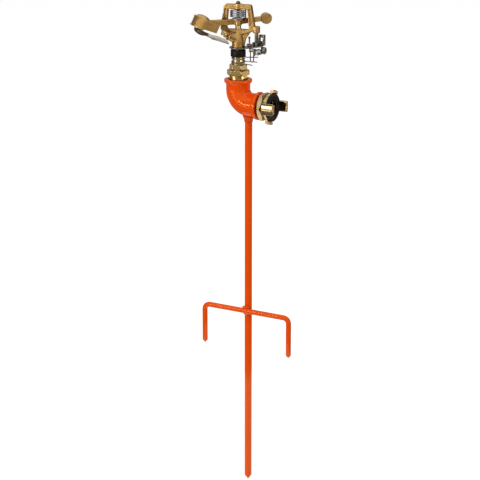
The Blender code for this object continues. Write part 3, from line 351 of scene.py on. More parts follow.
mouldedShared = {"flecks": 0.30, "rims": 0.4, "stainSize": 150.0, "stainContrast": 2.0, "edge": 0.0005,
                 "reach": 0.004, "grain": 2600.0, "depth": 0.12, "dull": 0.2, "bumpReach": 0.0003}
mouldedLooks = {
    "blackRubber": {"colour": (0.005, 0.005, 0.004), "dust": (0.020, 0.018, 0.014), "roughness": 0.24,
                    "shine": 0.20},
    "whitePlastic": {"colour": (0.72, 0.71, 0.66), "dust": (0.50, 0.47, 0.40), "roughness": 0.45, "shine": 0.5},
}


def makeMoulded(name, values):
    # rubber or plastic, dusty in flecks and a little paler on its rims
    material, tree, shader, cloud, corner = startFinish(name, values)
    grain = place(tree, castGrain, -900, -420, Grain_Size=values["grain"]).outputs
    colour = wash(tree, -500, 200, cloud["Fleck"], values["flecks"], values["colour"], values["dust"])
    colour = wash(tree, -300, 200, corner["Edges"], values["rims"], colour, values["dust"])
    rough = vary(tree, -500, -200, cloud["Cloud"], values["roughness"], values["dull"])
    dress(tree, shader, colour, rough, grain["Height"], corner, values)
    setInputs(shader, Specular_IOR_Level=values["shine"])
    return material


finishes = {}
for make, shared, looks in ((makeEnamel, enamelShared, enamelLooks), (makeBrass, brassShared, brassLooks),
                            (makeSteel, steelShared, steelLooks), (makeMoulded, mouldedShared, mouldedLooks)):
    for finish, look in looks.items():
        finishes[finish] = make(finish, {**shared, **look})
# the CAD nodes that show, inside the bearing and round the arm's pin; every other one is replaced by a piece
nodeFinishes = {"bearing_sleeve": "turnedBrass", "thrust_washer": "whitePlastic", "seal_washer": "blackRubber",
                "spring_washer": "turnedBrass", "thrust_spring": "springSteel", "arm_washer": "whitePlastic",
                "arm_bush": "turnedBrass"}


def paint(mesh, finish):
    mesh.materials.clear()
    mesh.materials.append(finishes[finish])


for nodeName, finish in nodeFinishes.items():
    paint(nodes[nodeName].data, finish)
print("finishes made:", len(finishes))


upright = Matrix.Identity(4)
hexLook = {"turn": 15.0, "blunt": 0.2, "slope": 0.42, "steps": 7}    # how every hexagon stands, and its corners


def headFrame(azimuth=0.0):
    # lengths in mm from the head's upright line, turned to an azimuth in degrees
    return Matrix.Translation((headX, 0.0, 0.0)) @ Matrix.Rotation(math.radians(azimuth), 4, "Z")


def facing(direction, origin=(0.0, 0.0, 0.0)):
    turn = Vector(direction).normalized().to_track_quat("Z", "Y").to_matrix().to_4x4()
    return Matrix.Translation(origin) @ turn


def sweep(degrees, steps):
    # angles in radians from none to the whole bend
    return [math.radians(degrees) * k / steps for k in range(steps + 1)]


def toMesh(bm, where):
    # a shape drawn in mm becomes a closed mesh in metres, set in its frame
    bmesh.ops.remove_doubles(bm, verts=bm.verts, dist=0.0005)
    bmesh.ops.recalc_face_normals(bm, faces=bm.faces)
    for vert in bm.verts:
        vert.co = (where @ vert.co) * mm
    mesh = bpy.data.meshes.new("shape")
    bm.to_mesh(mesh)
    bm.free()
    return mesh


def softened(line, radius, steps=3):
    # the same line of points with its corners rounded
    points = [Vector(point) for point in line]
    result = [points[0]]
    for before, corner, after in zip(points, points[1:], points[2:]):
        reach = min(radius, (before - corner).length * 0.45, (after - corner).length * 0.45)
        start = corner + (before - corner).normalized() * reach
        end = corner + (after - corner).normalized() * reach
        for i in range(steps + 1):
            t = i / steps
            result.append(start.lerp(corner, t).lerp(corner.lerp(end, t), t))
    result.append(points[-1])
    return [tuple(point) for point in result]


def spun(rows, where=upright, sides=72):
    # rows of (radius, height) or (radius, height, flats): where flats are given, the row is cut to that hexagon
    bm = bmesh.new()
    rings = []
    for radius, height, *flats in rows:
        if radius < 0.001:
            rings.append([bm.verts.new((0.0, 0.0, height))])
            continue
        ring = []
        for i in range(sides):
            angle = 2 * math.pi * i / sides
            reach = radius
            if flats:
                off = (math.degrees(angle) - hexLook["turn"]) % 60.0 - 30.0
                reach = min(radius, flats[0] / 2 / math.cos(math.radians(off)),
                            flats[0] / math.sqrt(3) - hexLook["blunt"])
            ring.append(bm.verts.new((reach * math.cos(angle), reach * math.sin(angle), height)))
        rings.append(ring)
    pairs = list(zip(rings, rings[1:]))
    if len(rings[0]) > 1:
        pairs.append((rings[-1], rings[0]))
    for first, second in pairs:
        for i in range(sides):
            j = (i + 1) % sides
            face = [ring[k % len(ring)] for ring, k in ((first, i), (first, j), (second, j), (second, i))]
            face = [vert for k, vert in enumerate(face) if vert not in face[:k]]
            if len(face) > 2:
                bm.faces.new(face)
    return toMesh(bm, where)


def hexRows(flats, low, high):
    # a hexagon's sides, with its corners turned down at both ends
    widest, start, steps = flats / math.sqrt(3), flats / 2, hexLook["steps"]
    rise = [(start + (widest - start) * k / steps, hexLook["slope"] * (widest - start) * k / steps)
            for k in range(steps + 1)]
    rows = [(radius, low + up, flats) for radius, up in rise]
    return rows + [(radius, high - up, flats) for radius, up in reversed(rise)]


def threadRows(radius, low, high, pitch, depth):
    # each turn's crest lies between 0.4 and 0.55 of the pitch
    rows = []
    count = int((high - low) / pitch)
    for i in range(count):
        base = low + i * pitch
        rows += [(radius - depth, base), (radius, base + pitch * 0.4), (radius, base + pitch * 0.55)]
    return rows + [(radius - depth, low + count * pitch)]


def joinRings(bm, first, second):
    for i in range(len(first)):
        j = (i + 1) % len(first)
        bm.faces.new((first[i], first[j], second[j], second[i]))


def ringsAlong(bm, line, sides):
    # circles square to a line of (x, y, z, radius), each turned as little as can be from the last
    points = [Vector(item[:3]) for item in line]
    normal = None
    rings = []
    for i, point in enumerate(points):
        along = Vector()
        for others, way in ((points[i + 1:], 1.0), (points[:i][::-1], -1.0)):
            apart = [(other - point) * way for other in others if (other - point).length > 0.01]
            if apart:
                along += apart[0].normalized()
        along.normalize()
        if normal is None:
            normal = along.orthogonal().normalized()
        normal = (normal - along * normal.dot(along)).normalized()
        across = along.cross(normal)
        rings.append([bm.verts.new(point + (normal * math.cos(a) + across * math.sin(a)) * line[i][3])
                      for a in (2 * math.pi * k / sides for k in range(sides))])
    for first, second in zip(rings, rings[1:]):
        joinRings(bm, first, second)
    return rings


def tube(line, radius=None, where=upright, sides=16):
    # a round bar along a line, with eased ends where one radius is given
    if radius is not None:
        start, second, beforeLast, end = (Vector(line[k]) for k in (0, 1, -2, -1))
        ease, blunt = radius * 0.35, radius * 0.6
        inFront = start + (second - start).normalized() * ease
        atBack = end + (beforeLast - end).normalized() * ease
        line = ([(*start, blunt), (*inFront, radius)] + [(*point, radius) for point in line[1:-1]]
                + [(*atBack, radius), (*end, blunt)])
    bm = bmesh.new()
    rings = ringsAlong(bm, line, sides)
    bm.faces.new(rings[0])
    bm.faces.new(rings[-1])
    return toMesh(bm, where)


def coil(radius, start, turns, low, high, count=40):
    total = round(turns * count)
    return [(radius * math.cos(math.radians(start + 360.0 * turns * i / total)),
             radius * math.sin(math.radians(start + 360.0 * turns * i / total)),
             low + (high - low) * i / total) for i in range(total + 1)]


def cleanCopy(nodeName):
    # the CAD node's own faces, joined again where they share a plane
    bm = bmesh.new()
    bm.from_mesh(nodes[nodeName].data)
    bmesh.ops.remove_doubles(bm, verts=bm.verts, dist=0.000002)
    bmesh.ops.dissolve_limit(bm, angle_limit=math.radians(0.5), verts=bm.verts, edges=bm.edges)
    mesh = bpy.data.meshes.new(nodeName + "Copy")
    bm.to_mesh(mesh)
    bm.free()
    for layer in ("custom_normal", "sharp_edge", "sharp_face"):
        if layer in mesh.attributes:
            mesh.attributes.remove(mesh.attributes[layer])
    return mesh


def settled(mesh, changes):
    # applies modifiers, given as (kind, settings), and returns the new mesh
    holder = bpy.data.objects.new("holder", mesh)
    scene.collection.objects.link(holder)
    for kind, settings in changes:
        change = holder.modifiers.new(kind.lower(), kind)
        for key, value in settings.items():
            setattr(change, key, value)
    result = bpy.data.meshes.new_from_object(holder.evaluated_get(bpy.context.evaluated_depsgraph_get()))
    bpy.data.objects.remove(holder)
    return result


def castCopy(nodeName, values):
    # a casting's skin: the node's shape with every corner run soft
    return settled(cleanCopy(nodeName), [
        ("REMESH", {"mode": "VOXEL", "voxel_size": values["voxel"] * mm}),
        ("SMOOTH", {"factor": 0.5, "iterations": values["passes"]}),
        ("DECIMATE", {"ratio": values["keep"]})])


def edgedCopy(nodeName, width, steps):
    # a pressed or milled piece: the node's shape with its sharp edges broken
    return settled(cleanCopy(nodeName), [
        ("BEVEL", {"width": width * mm, "segments": steps, "limit_method": "ANGLE",
                   "angle_limit": math.radians(32), "use_clamp_overlap": True})])


def addPiece(name, mesh, body, nodeName, finish, crease=38.0):
    mesh.name = name
    paint(mesh, finish)
    paint(nodes[nodeName].data, finish)
    mesh.shade_smooth()
    mesh.set_sharp_from_angle(angle=math.radians(crease))
    piece = bpy.data.objects.new(name, mesh)
    scene.collection.objects.link(piece)
    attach(piece, body)
    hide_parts(nodeName)


# From here on, lengths are in mm. A crease is the angle in degrees above which an edge stays sharp.
softCrease, hexCrease, elbowCrease, weldCrease = 60.0, 28.0, 50.0, 70.0
rodLook = {"radius": 5.0, "paint": 0.2, "tip": -259.0, "tipRadius": 0.6, "pointLength": 6.5, "evenLength": 12.0,
           "top": 285.0, "unevenness": 0.05, "waviness": 0.06, "step": 4.0}
barLook = {"radius": 3.5, "paint": 0.2, "y": -8.8, "left": -66.0, "right": 69.0, "bend": 8.0, "legTip": -55.0,
           "pointLength": 4.0}
elbowLook = {"body": 16.7, "bead": 19.3, "beadWidth": 5.0, "bend": 20.5, "face": 34.6, "bore": 12.0,
             "socket": 13.5, "socketDepth": 14.0, "sides": 72}
weldLook = {"voxel": 0.35, "passes": 4, "keep": 1.0, "lump": 0.28, "ripple": 0.16, "ripplePitch": 1.5}
weldRuns = {
    "elbowWeldBead": {"node": "elbow_weld", "centre": (0.0, 0.0, 280.0), "axis": (0.75, 0.0, 0.66)},
    "upperWeldBead": {"node": "foot_weld_upper", "centre": (0.0, 0.0, 0.0), "axis": (1.0, 0.0, 0.0)},
    "lowerWeldBead": {"node": "foot_weld_lower", "centre": (0.0, 0.0, 0.0), "axis": (1.0, 0.0, 0.0)},
}


def makeRod(values):
    # drawn bar with a ground point; the paint leaves it slightly uneven
    tip, top, step = values["tip"], values["top"], values["step"]
    radius = values["radius"] + values["paint"]
    rows = softened([(0.0, tip), (values["tipRadius"], tip), (radius, tip + values["pointLength"]),
                     (radius, tip + values["evenLength"])], 0.8)
    height = tip + values["evenLength"] + step / 2
    while height < top - step * 1.5:
        wave = noise.noise((0.0, 0.0, height * values["waviness"]))
        rows.append((radius - values["unevenness"] * wave, height))
        height += step
    rows += [(radius, top), (0.0, top)]
    addPiece("rodBar", spun(rows, sides=48), "stand", "ground_rod", "orangeEnamel", softCrease)


def makeFootBar(values):
    # round bar bent twice, with hammered points on its legs; each leg is rows of (height, radius)
    bend, radius, left, right = values["bend"], values["radius"], values["left"], values["right"]
    thick = radius + values["paint"]
    tip, shoulder = values["legTip"], values["legTip"] + values["pointLength"]
    leg = [(tip, 0.5), (tip + 0.5, 1.0), (shoulder - 0.6, thick - 0.25), (shoulder + 0.4, thick)]
    line = [(left, z, size) for z, size in leg]
    line += [(left + bend - bend * math.cos(t), radius - bend + bend * math.sin(t), thick) for t in sweep(90.0, 14)]
    line += [(x, radius, thick) for x in range(int(left + bend) + 6, int(right - bend) - 4, 8)]   # a ring every 8 mm
    line += [(right - bend + bend * math.sin(t), radius - bend + bend * math.cos(t), thick) for t in sweep(90.0, 14)]
    line += [(right, z, size) for z, size in reversed(leg)]
    route = [(x, values["y"], z, size) for x, z, size in line]
    addPiece("footBar", tube(route, sides=32), "stand", "foot_bar", "orangeEnamel", softCrease)


def makeElbow(values):
    # malleable pipe elbow: rolled bands at its mouths, one even bend, and an open waterway. Lip and inside are
    # rows of (depth from the mouth, radius).
    bend, face, socket, sides = values["bend"], values["face"], values["socket"], values["sides"]
    body, bead, width = values["body"], values["bead"], values["beadWidth"]
    arc = [(headX + bend - bend * math.cos(t), elbowZ + bend - bend * math.sin(t)) for t in sweep(90.0, 26)]
    lip = softened([(0.0, socket + 0.8), (0.0, bead - 0.5), (0.6, bead), (width - 1.0, bead),
                    (width + 0.6, body + 0.5), (width + 2.6, body)], 0.9, 4)
    inside = [(0.0, socket + 0.5), (1.0, socket), (values["socketDepth"], socket - 0.8)]

    def along(depths, middle):
        line = [(headX, 0.0, elbowZ + face - depth, radius) for depth, radius in depths]
        line += [(x, 0.0, z, middle) for x, z in arc]
        return line + [(headX + face - depth, 0.0, elbowZ, radius) for depth, radius in reversed(depths)]
    bm = bmesh.new()
    outer = ringsAlong(bm, along(lip, body), sides)
    inner = ringsAlong(bm, along(inside, values["bore"]), sides)
    for mouth in (0, -1):
        joinRings(bm, outer[mouth], inner[mouth])
    addPiece("elbowShell", toMesh(bm, upright), "stand", "pipe_elbow", "orangeEnamel", elbowCrease)


def makeWeld(name, run, values):
    # a run of overlapping weld ripples under the paint
    mesh = castCopy(run["node"], values)
    centre, axis = Vector(run["centre"]), Vector(run["axis"])
    moves = []
    for vert in mesh.vertices:
        spot = vert.co / mm
        lump = noise.noise(spot * 0.55) * values["lump"]
        ripple = math.sin((spot - centre).dot(axis) * 2 * math.pi / values["ripplePitch"]
                          + 1.4 * noise.noise(spot * 0.3)) * values["ripple"]
        moves.append(vert.normal * (lump + ripple - values["lump"] * 0.4) * mm)
    for vert, move in zip(mesh.vertices, moves):
        vert.co += move
    addPiece(name, mesh, "stand", run["node"], "orangeWeldEnamel", weldCrease)


makeRod(rodLook)
makeFootBar(barLook)
makeElbow(elbowLook)
for weldName, weldRun in weldRuns.items():
    makeWeld(weldName, weldRun, weldLook)
print("painted stand made")


couplingLook = {"node": "coupling_body", "body": "stand", "finish": "couplingBrass", "voxel": 0.34, "passes": 7,
                "keep": 0.6}
# the seal's face, from its rim inwards: radius, and how far it stands out from the front
sealLook = {"bore": 9.5, "spigot": 15.2, "spigotLength": 2.9, "rim": 19.4, "back": 36.6, "front": 38.6,
            "face": [(17.8, 0.0), (17.3, -0.8), (14.9, -0.8), (14.2, 0.4), (13.2, 0.9), (12.0, 0.4), (11.2, -0.4),
                     (9.5, -0.8)]}
bushLook = {"flats": 28.0, "low": 340.0, "high": 347.3, "thread": 13.1, "pitch": 1.81, "threadDepth": 0.5,
            "threadTop": 333.4, "neck": 12.2, "bore": 10.6, "bottom": 321.0}
nippleLook = {"flats": 22.0, "low": 347.6, "high": 354.8, "shank": 10.2, "stem": 8.0, "bore": 6.6, "bottom": 331.0,
              "top": 365.2}


def makeCasting(name, values):
    # cast or hot-forged brass, its corners all run soft
    addPiece(name, castCopy(values["node"], values), values["body"], values["node"], values["finish"], softCrease)


def makeSeal(values):
    # rubber face seal with a raised lip round its waterway
    back, front, rim, spigot = values["back"], values["front"], values["rim"], values["spigot"]
    inner = back - values["spigotLength"]
    rows = [(values["bore"], inner), (spigot, inner), (spigot, back), (rim, back), (rim, front - 0.3),
            (rim - 0.4, front)]
    rows += [(radius, front + out) for radius, out in values["face"]] + [(values["bore"], inner)]
    mesh = spun(softened(rows, 0.5)[:-1], facing((1, 0, 0), (0, 0, elbowZ)), 96)
    addPiece("sealRing", mesh, "stand", "coupling_seal", "blackRubber")


def makeBush(values):
    # hexagon reducing bush, its thread run out into a plain neck above the elbow's mouth
    bore, bottom, thread = values["bore"], values["bottom"], values["thread"]
    rows = [(bore, bottom), (thread - 1.0, bottom)]
    rows += threadRows(thread, bottom + 1.0, values["threadTop"], values["pitch"], values["threadDepth"])
    rows += [(values["neck"], values["threadTop"]), (values["neck"], values["low"])]
    rows += hexRows(values["flats"], values["low"], values["high"])
    rows += [(bore + 0.5, values["high"]), (bore, values["high"] - 0.5)]
    addPiece("bushHexagon", spun(rows, headFrame(), 120), "stand", "reducing_bush", "turnedBrass", hexCrease)


def makeNipple(values):
    # hexagon nipple with a polished stem; the rings near the stem's ends keep its shading straight
    bore, shank, stem, bottom = values["bore"], values["shank"], values["stem"], values["bottom"]
    high, top = values["high"], values["top"]
    rows = [(bore, bottom), (shank - 0.6, bottom), (shank, bottom + 0.6), (shank, values["low"])]
    rows += hexRows(values["flats"], values["low"], high)
    rows += softened([(stem + 1.6, high), (stem + 0.4, high), (stem, high + 0.3), (stem, high + 0.7),
                      (stem, top - 0.9), (stem, top - 0.5), (stem - 0.5, top), (bore + 0.3, top),
                      (bore, top - 0.4)], 0.2, 2)
    addPiece("nippleHexagon", spun(rows, headFrame(), 120), "stand", "bearing_nipple", "polishedBrass", hexCrease)


makeCasting("couplingForging", couplingLook)
makeSeal(sealLook)
makeBush(bushLook)
makeNipple(nippleLook)
print("hose coupling and fittings made")


bodyLook = {"node": "sprinkler_body", "body": "head", "finish": "castBrass", "voxel": 0.36, "passes": 8, "keep": 0.6}
armLook = {"node": "impact_arm", "body": "arm", "finish": "castBrass", "voxel": 0.34, "passes": 6, "keep": 0.6}
nozzleLook = {"rise": 26.0, "root": 9.3, "neck": 4.7, "bore": 3.9, "boreEnd": 11.0, "flats": 9.6, "low": 16.0,
              "high": 20.6, "barrel": 3.9, "tip": 25.6, "throat": 2.2, "throatEnd": 20.0, "mouth": 3.0, "flare": 1.8}
pinLook = {"radius": 2.3, "low": 399.0, "shoulder": 437.9, "head": 2.9, "headEdge": 439.3, "crown": 1.7, "top": 441.0}
armSpringLook = {"radius": 10.5, "wire": 0.8, "low": 418.6, "high": 429.2, "turns": 4.4, "start": 60.0, "lead": 1.6}
sleeveLook = {"radius": 10.4, "low": 365.6, "high": 374.9, "hollow": 9.3, "ceiling": 373.2, "hole": 6.5}


def makeNozzle(values):
    # small hexagon nozzle with a tapered throat and a flared mouth
    rise = math.radians(values["rise"])
    jet = headFrame(jetTurn) @ facing((math.cos(rise), 0.0, math.sin(rise)), (0.0, 0.0, jetZ))
    neck, barrel, high, tip = values["neck"], values["barrel"], values["high"], values["tip"]
    rows = [(values["bore"], values["root"]), (neck, values["root"]), (neck, values["low"])]
    rows += hexRows(values["flats"], values["low"], high)
    rows += softened([(barrel + 0.4, high), (barrel, high + 0.3), (barrel, tip - 0.6), (barrel - 0.5, tip),
                      (values["mouth"], tip), (values["throat"], tip - values["flare"]),
                      (values["throat"], values["throatEnd"]), (values["bore"], values["boreEnd"])], 0.2, 2)
    addPiece("nozzleTip", spun(rows, jet, 96), "head", "nozzle", "turnedBrass", hexCrease)


def makePivotPin(values):
    radius, head, low, shoulder, top = (values[key] for key in ("radius", "head", "low", "shoulder", "top"))
    rows = softened([(0.0, low), (radius, low), (radius, shoulder), (head, shoulder), (head, values["headEdge"]),
                     (values["crown"], top), (0.0, top)], 0.4)
    addPiece("pivotShaft", spun(rows, headFrame(), 40), "head", "pivot_pin", "darkSteel")


def makeArmSpring(values):
    # wound return spring, its ends led off straight to their stops
    turn = coil(values["radius"], values["start"], values["turns"], values["low"], values["high"])
    ends = []
    for end, inner in ((turn[0], turn[1]), (turn[-1], turn[-2])):
        step = Vector(end) - Vector(inner)
        step.z = 0.0
        ends.append(tuple(Vector(end) + step.normalized() * values["lead"]))
    mesh = tube([ends[0]] + turn + [ends[1]], values["wire"], headFrame(jetTurn), 14)
    addPiece("returnSpring", mesh, "head", "arm_spring", "springSteel", softCrease)


def makeDustSleeve(values):
    # moulded rubber cup, open below
    outer, low, high = values["radius"], values["low"], values["high"]
    hollow, hole, ceiling = values["hollow"], values["hole"], values["ceiling"]
    rows = softened([(hollow, low), (outer - 0.3, low), (outer, low + 0.4), (outer, high - 0.6), (outer - 0.6, high),
                     (hole, high), (hole, ceiling), (hollow, ceiling), (hollow, low)], 0.3)[:-1]
    addPiece("dustCup", spun(rows, headFrame(), 160), "head", "dust_sleeve", "blackRubber")


makeCasting("bodyCasting", bodyLook)
makeCasting("armCasting", armLook)
makeNozzle(nozzleLook)
makePivotPin(pinLook)
makeArmSpring(armSpringLook)
makeDustSleeve(sleeveLook)
print("head, arm and spring made")


pressings = {
    "bracketPressing": {"node": "trip_bracket", "body": "head", "finish": "pressedSteel", "edge": 0.22, "steps": 2},
    "rockerLever": {"node": "trip_lever", "body": "trip", "finish": "darkSteel", "edge": 0.25, "steps": 2},
    "jetBlade": {"node": "jet_deflector", "body": "arm", "finish": "bladeSteel", "edge": 0.3, "steps": 3},
    "bladeRivet": {"node": "deflector_rivet", "body": "arm", "finish": "pressedSteel", "edge": 0.35, "steps": 3},
}
# pieces turned from round bar: rows of (radius, distance along), how far their corners are eased, and where they
# stand in the trip's frame
turnings = {
    "tiePost": {"node": "trip_post", "ease": 0.35, "sides": 40, "stands": Matrix.Translation((25.7, 0.0, 0.0)),
                "rows": [(0.0, 380.9), (2.6, 380.9), (2.6, 383.0), (2.1, 383.4), (2.1, 386.4), (2.6, 386.8),
                         (2.6, 404.2), (0.0, 404.2)]},
    "springSeat": {"node": "spring_cap", "ease": 0.5, "sides": 48, "stands": facing((1, 0, 0), (0, 0, 375.0)),
                   "rows": [(0.0, 30.2), (1.3, 30.2), (1.3, 34.4), (4.4, 34.4), (5.0, 35.2), (5.0, 37.4),
                            (4.0, 39.0), (2.2, 39.6), (0.0, 39.6)]},
    "rockerPivot": {"node": "trip_pivot", "ease": 0.3, "sides": 32, "stands": facing((1, 0, 0), (0, 0, 381.0)),
                    "rows": [(0.0, 11.4), (1.2, 11.4), (1.2, 22.2), (0.0, 22.2)]},
}
toggleLook = {"from": (24.4, 0.0, 371.4), "along": (8.2, 0.0, 2.4), "radius": 3.9, "wire": 0.5, "turns": 4.0,
              "low": 0.8, "high": 7.3}
hairpinLook = {"radius": 0.8, "near": 17.2, "far": 21.6, "top": 376.2, "bottom": 358.4, "straight": 6.0}
collarLook = {"wire": 0.75, "radius": 8.9, "tailStart": 3.0, "bend": 2.2}
# a collar's coil starts and ends at two heights, and each tail has an azimuth, a reach, a height and a drop
collars = {
    "upperCollarWire": {"node": "friction_collar_upper", "body": "upper_collar", "heights": (364.1, 362.0),
                        "start": 48.0, "turns": 1.12,
                        "tails": ((29.0, 27.4, 364.1, 0.0), (110.0, 14.5, 362.0, 0.0))},
    "lowerCollarWire": {"node": "friction_collar_lower", "body": "lower_collar", "heights": (359.6, 356.2),
                        "start": 21.0, "turns": 1.85,
                        "tails": ((-1.0, 30.0, 359.6, -0.6), (-12.0, 25.5, 356.4, 0.2))},
}


def makePressing(name, values):
    mesh = edgedCopy(values["node"], values["edge"], values["steps"])
    addPiece(name, mesh, values["body"], values["node"], values["finish"])


def makeTurning(name, values):
    where = headFrame(bridgeTurn) @ values["stands"]
    mesh = spun(softened(values["rows"], values["ease"]), where, values["sides"])
    addPiece(name, mesh, "head", values["node"], "pressedSteel")


def makeToggleSpring(values):
    where = headFrame(bridgeTurn) @ facing(values["along"], values["from"])
    line = coil(values["radius"], 0.0, values["turns"], values["low"], values["high"])
    mesh = tube(line, values["wire"], where, 12)
    addPiece("toggleSpring", mesh, "head", "trip_spring", "pressedSteel", softCrease)


def makeHairpin(values):
    # one hairpin of wire whose legs stand in the lever's block
    near, far, top = values["near"], values["far"], values["top"]
    half, middle = (far - near) / 2, (far + near) / 2
    bendZ = values["bottom"] + half
    legEnd = bendZ + values["straight"]
    line = [(near, 0.0, top), (near, 0.0, legEnd)]
    line += [(middle - half * math.cos(t), 0.0, bendZ - half * math.sin(t)) for t in sweep(180.0, 16)]
    line += [(far, 0.0, legEnd), (far, 0.0, top)]
    mesh = tube(line, values["radius"], headFrame(bridgeTurn), 14)
    addPiece("tripHairpin", mesh, "trip", "trip_wire", "darkSteel", softCrease)


def makeCollar(name, collar, values):
    # a spring-wire clip: coils that grip the stem, and two tails that stand out
    turn = coil(values["radius"], collar["start"], collar["turns"], *collar["heights"])

    def tail(azimuth, reach, height, drop):
        a = math.radians(azimuth)
        near = values["radius"] + values["tailStart"]
        return [(reach * math.cos(a), reach * math.sin(a), height - drop),
                (near * math.cos(a), near * math.sin(a), height)]
    first, last = (tail(*numbers) for numbers in collar["tails"])
    line = softened(first + turn + last[::-1], values["bend"], 5)
    mesh = tube(line, values["wire"], headFrame(), 14)
    addPiece(name, mesh, collar["body"], collar["node"], "wireSteel", softCrease)


for name, look in pressings.items():
    makePressing(name, look)
for name, look in turnings.items():
    makeTurning(name, look)
makeToggleSpring(toggleLook)
makeHairpin(hairpinLook)
for name, look in collars.items():
    makeCollar(name, look, collarLook)
print("trip and collars made")


# from here on, lengths are in metres
stageLook = {"floorZ": -0.2600, "floorRadius": 14.0, "floorColour": 0.72, "floorRoughness": 0.9, "floorLift": 0.55,
             "background": 1.0, "ambient": 0.60}


def seenByEye(tree, x, y):
    # one for what the camera sees, directly or in metal and glass
    ray = put(tree, "ShaderNodeLightPath", x, y).outputs
    seen = reckon(tree, x + 200, y, "MAXIMUM", ray["Is Camera Ray"], ray["Is Glossy Ray"])
    return reckon(tree, x + 350, y, "MAXIMUM", seen, ray["Is Transmission Ray"])


def addStage(name, bm, material):
    mesh = bpy.data.meshes.new(name)
    bm.to_mesh(mesh)
    bm.free()
    mesh.materials.append(material)
    prop = bpy.data.objects.new(name, mesh)
    scene.collection.objects.link(prop)
    return prop


def makeFloor(values):
    # pale floor that stays white to the camera and in reflections, but keeps a shadow
    material, tree, shader = freshTree("paleFloor")
    setInputs(shader, Base_Color=(values["floorColour"],) * 3 + (1.0,), Roughness=values["floorRoughness"],
              Specular_IOR_Level=0.0)
    lift = reckon(tree, 0, 150, "MULTIPLY", seenByEye(tree, -400, 300), values["floorLift"])
    glow = put(tree, "ShaderNodeEmission", 150, 200)
    both = put(tree, "ShaderNodeAddShader", 850, 100)
    wire(tree, (lift, glow.inputs["Strength"]), (shader.outputs[0], both.inputs[0]),
         (glow.outputs[0], both.inputs[1]), (both.outputs[0], tree.nodes["Material Output"].inputs["Surface"]))
    bm = bmesh.new()
    bmesh.ops.create_circle(bm, cap_ends=True, segments=96, radius=values["floorRadius"])
    addStage("studioFloor", bm, material).location.z = values["floorZ"]


def makeWorld(values):
    # white to the camera and in reflections, and dimmer as a light
    world = bpy.data.worlds.new("studio")
    scene.world = world
    world.use_nodes = True
    tree = world.node_tree
    back = setInputs(tree.nodes["Background"], Color=(1.0, 1.0, 1.0, 1.0))
    strength = spread(tree, -180, 200, seenByEye(tree, -700, 200), 0.0, 1.0, values["ambient"], values["background"])
    wire(tree, (strength, back.inputs["Strength"]))


lampSet = {
    "keyLamp": {"turn": -119.0, "rise": 22.0, "reach": 2.7, "aim": 0.25, "size": (1.40, 0.50), "power": 24.0},
    "fillLamp": {"turn": -22.0, "rise": 24.0, "reach": 2.7, "aim": 0.20, "size": (1.00, 0.14), "power": 12.0},
    "backLamp": {"turn": 105.0, "rise": 34.0, "reach": 2.8, "aim": 0.25, "size": (1.20, 0.80), "power": 9.0},
}
# Studio cards stand round the object in its reflections only. Each has its first and last angle, its shade, and
# the heights of its foot and top; one that has no foot of its own also lies on the floor, in to the inner radius.
reflectionCards = {
    "frontLowCard": (-94.0, -16.0, 0.14, None, 0.06),
    "frontHexagonCard": (-94.0, -82.0, 0.27, 0.06, 0.145),
    "frontMiddleCard": (-82.0, -16.0, 0.10, 0.06, 0.145),
    "frontHighCard": (-94.0, -38.0, 0.92, 0.145, 1.25),
    "rightHighCard": (-38.0, 2.0, 0.66, 0.145, 1.25),
    "rightLowCard": (-16.0, 14.0, 0.10, None, 0.05),
    "rightStrip": (-14.0, 14.0, 4.2, 0.05, 0.145),
    "hexagonLowCard": (14.0, 96.0, 0.42, None, 0.06),
    "hexagonCard": (14.0, 96.0, 1.10, 0.06, 0.125),
    "rightCard": (2.0, 96.0, 0.05, 0.125, 1.25),
    "backCard": (96.0, 166.0, 0.42, None, 1.25),
    "leftCard": (166.0, 220.0, 0.22, None, 1.25),
    "leftLowCard": (220.0, 266.0, 0.16, None, 0.05),
    "leftStrip": (226.0, 252.0, 4.2, 0.05, 0.145),
    "leftMiddleCard": (220.0, 266.0, 0.18, 0.145, 0.37),
    "brightCard": (230.0, 259.0, 13.0, 0.37, 0.55),
    "leftHighCard": (200.0, 266.0, 0.14, 0.55, 1.25),
}
cardRing = {"reach": 1.25, "inner": 0.42, "low": -0.2585, "sides": 10, "colour": (1.0, 0.90, 0.74)}


def around(turn, reach, height):
    angle = math.radians(turn)
    return Vector((reach * math.cos(angle), reach * math.sin(angle), height))


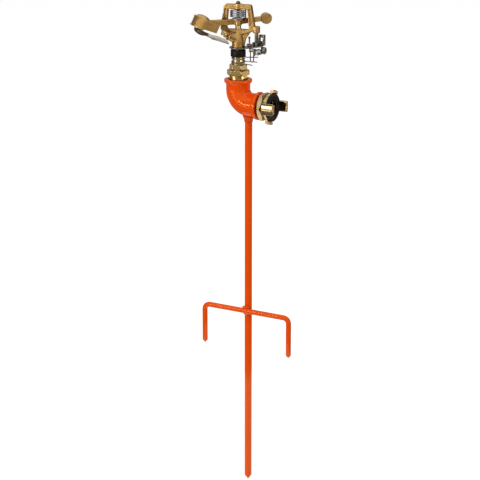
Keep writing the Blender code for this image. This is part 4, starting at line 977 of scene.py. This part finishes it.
def makeLamps(lamps):
    for name, values in lamps.items():
        light = bpy.data.lights.new(name, "AREA")
        light.shape = "RECTANGLE"
        light.size, light.size_y = values["size"]
        light.energy = values["power"]
        lamp = bpy.data.objects.new(name, light)
        rise, reach = math.radians(values["rise"]), values["reach"]
        aim = Vector((0.0, 0.0, values["aim"]))
        lamp.location = aim + around(values["turn"], reach * math.cos(rise), reach * math.sin(rise))
        lamp.rotation_euler = (aim - lamp.location).to_track_quat("-Z", "Y").to_euler()
        lamp.visible_glossy = False
        scene.collection.objects.link(lamp)


def makeCards(cards, ring):
    for name, (first, last, shade, foot, top) in cards.items():
        material, tree, shader = freshTree(name)
        setInputs(shader, Base_Color=(0.0, 0.0, 0.0, 1.0), Specular_IOR_Level=0.0,
                  Emission_Color=(*ring["colour"], 1.0), Emission_Strength=shade)
        section = [(ring["reach"], foot), (ring["reach"], top)]
        if foot is None:
            section = [(ring["inner"], ring["low"]), (ring["reach"], ring["low"]), (ring["reach"], top)]
        bm = bmesh.new()
        rows = [[bm.verts.new(around(first + (last - first) * i / ring["sides"], reach, height))
                 for reach, height in section] for i in range(ring["sides"] + 1)]
        for left, right in zip(rows, rows[1:]):
            for k in range(len(section) - 1):
                bm.faces.new((left[k], right[k], right[k + 1], left[k + 1]))
        card = addStage(name, bm, material)
        card.visible_camera = card.visible_diffuse = card.visible_shadow = card.visible_transmission = False


cameraLook = {"place": (1.10157, -2.01162, 0.80717), "tilt": 73.0, "turn": 29.0, "lens": 128.205, "sensor": 36.0,
              "near": 0.05, "far": 60.0}


def makeCamera(values):
    view = bpy.data.cameras.new("productCamera")
    view.lens = values["lens"]
    view.sensor_width = values["sensor"]
    view.clip_start = values["near"]
    view.clip_end = values["far"]
    camera = bpy.data.objects.new("productCamera", view)
    camera.location = values["place"]
    camera.rotation_euler = (math.radians(values["tilt"]), 0.0, math.radians(values["turn"]))
    scene.collection.objects.link(camera)
    scene.camera = camera


makeFloor(stageLook)
makeWorld(stageLook)
makeLamps(lampSet)
makeCards(reflectionCards, cardRing)
makeCamera(cameraLook)
scene.view_settings.view_transform = "Standard"
print("stage, lamps and camera set")
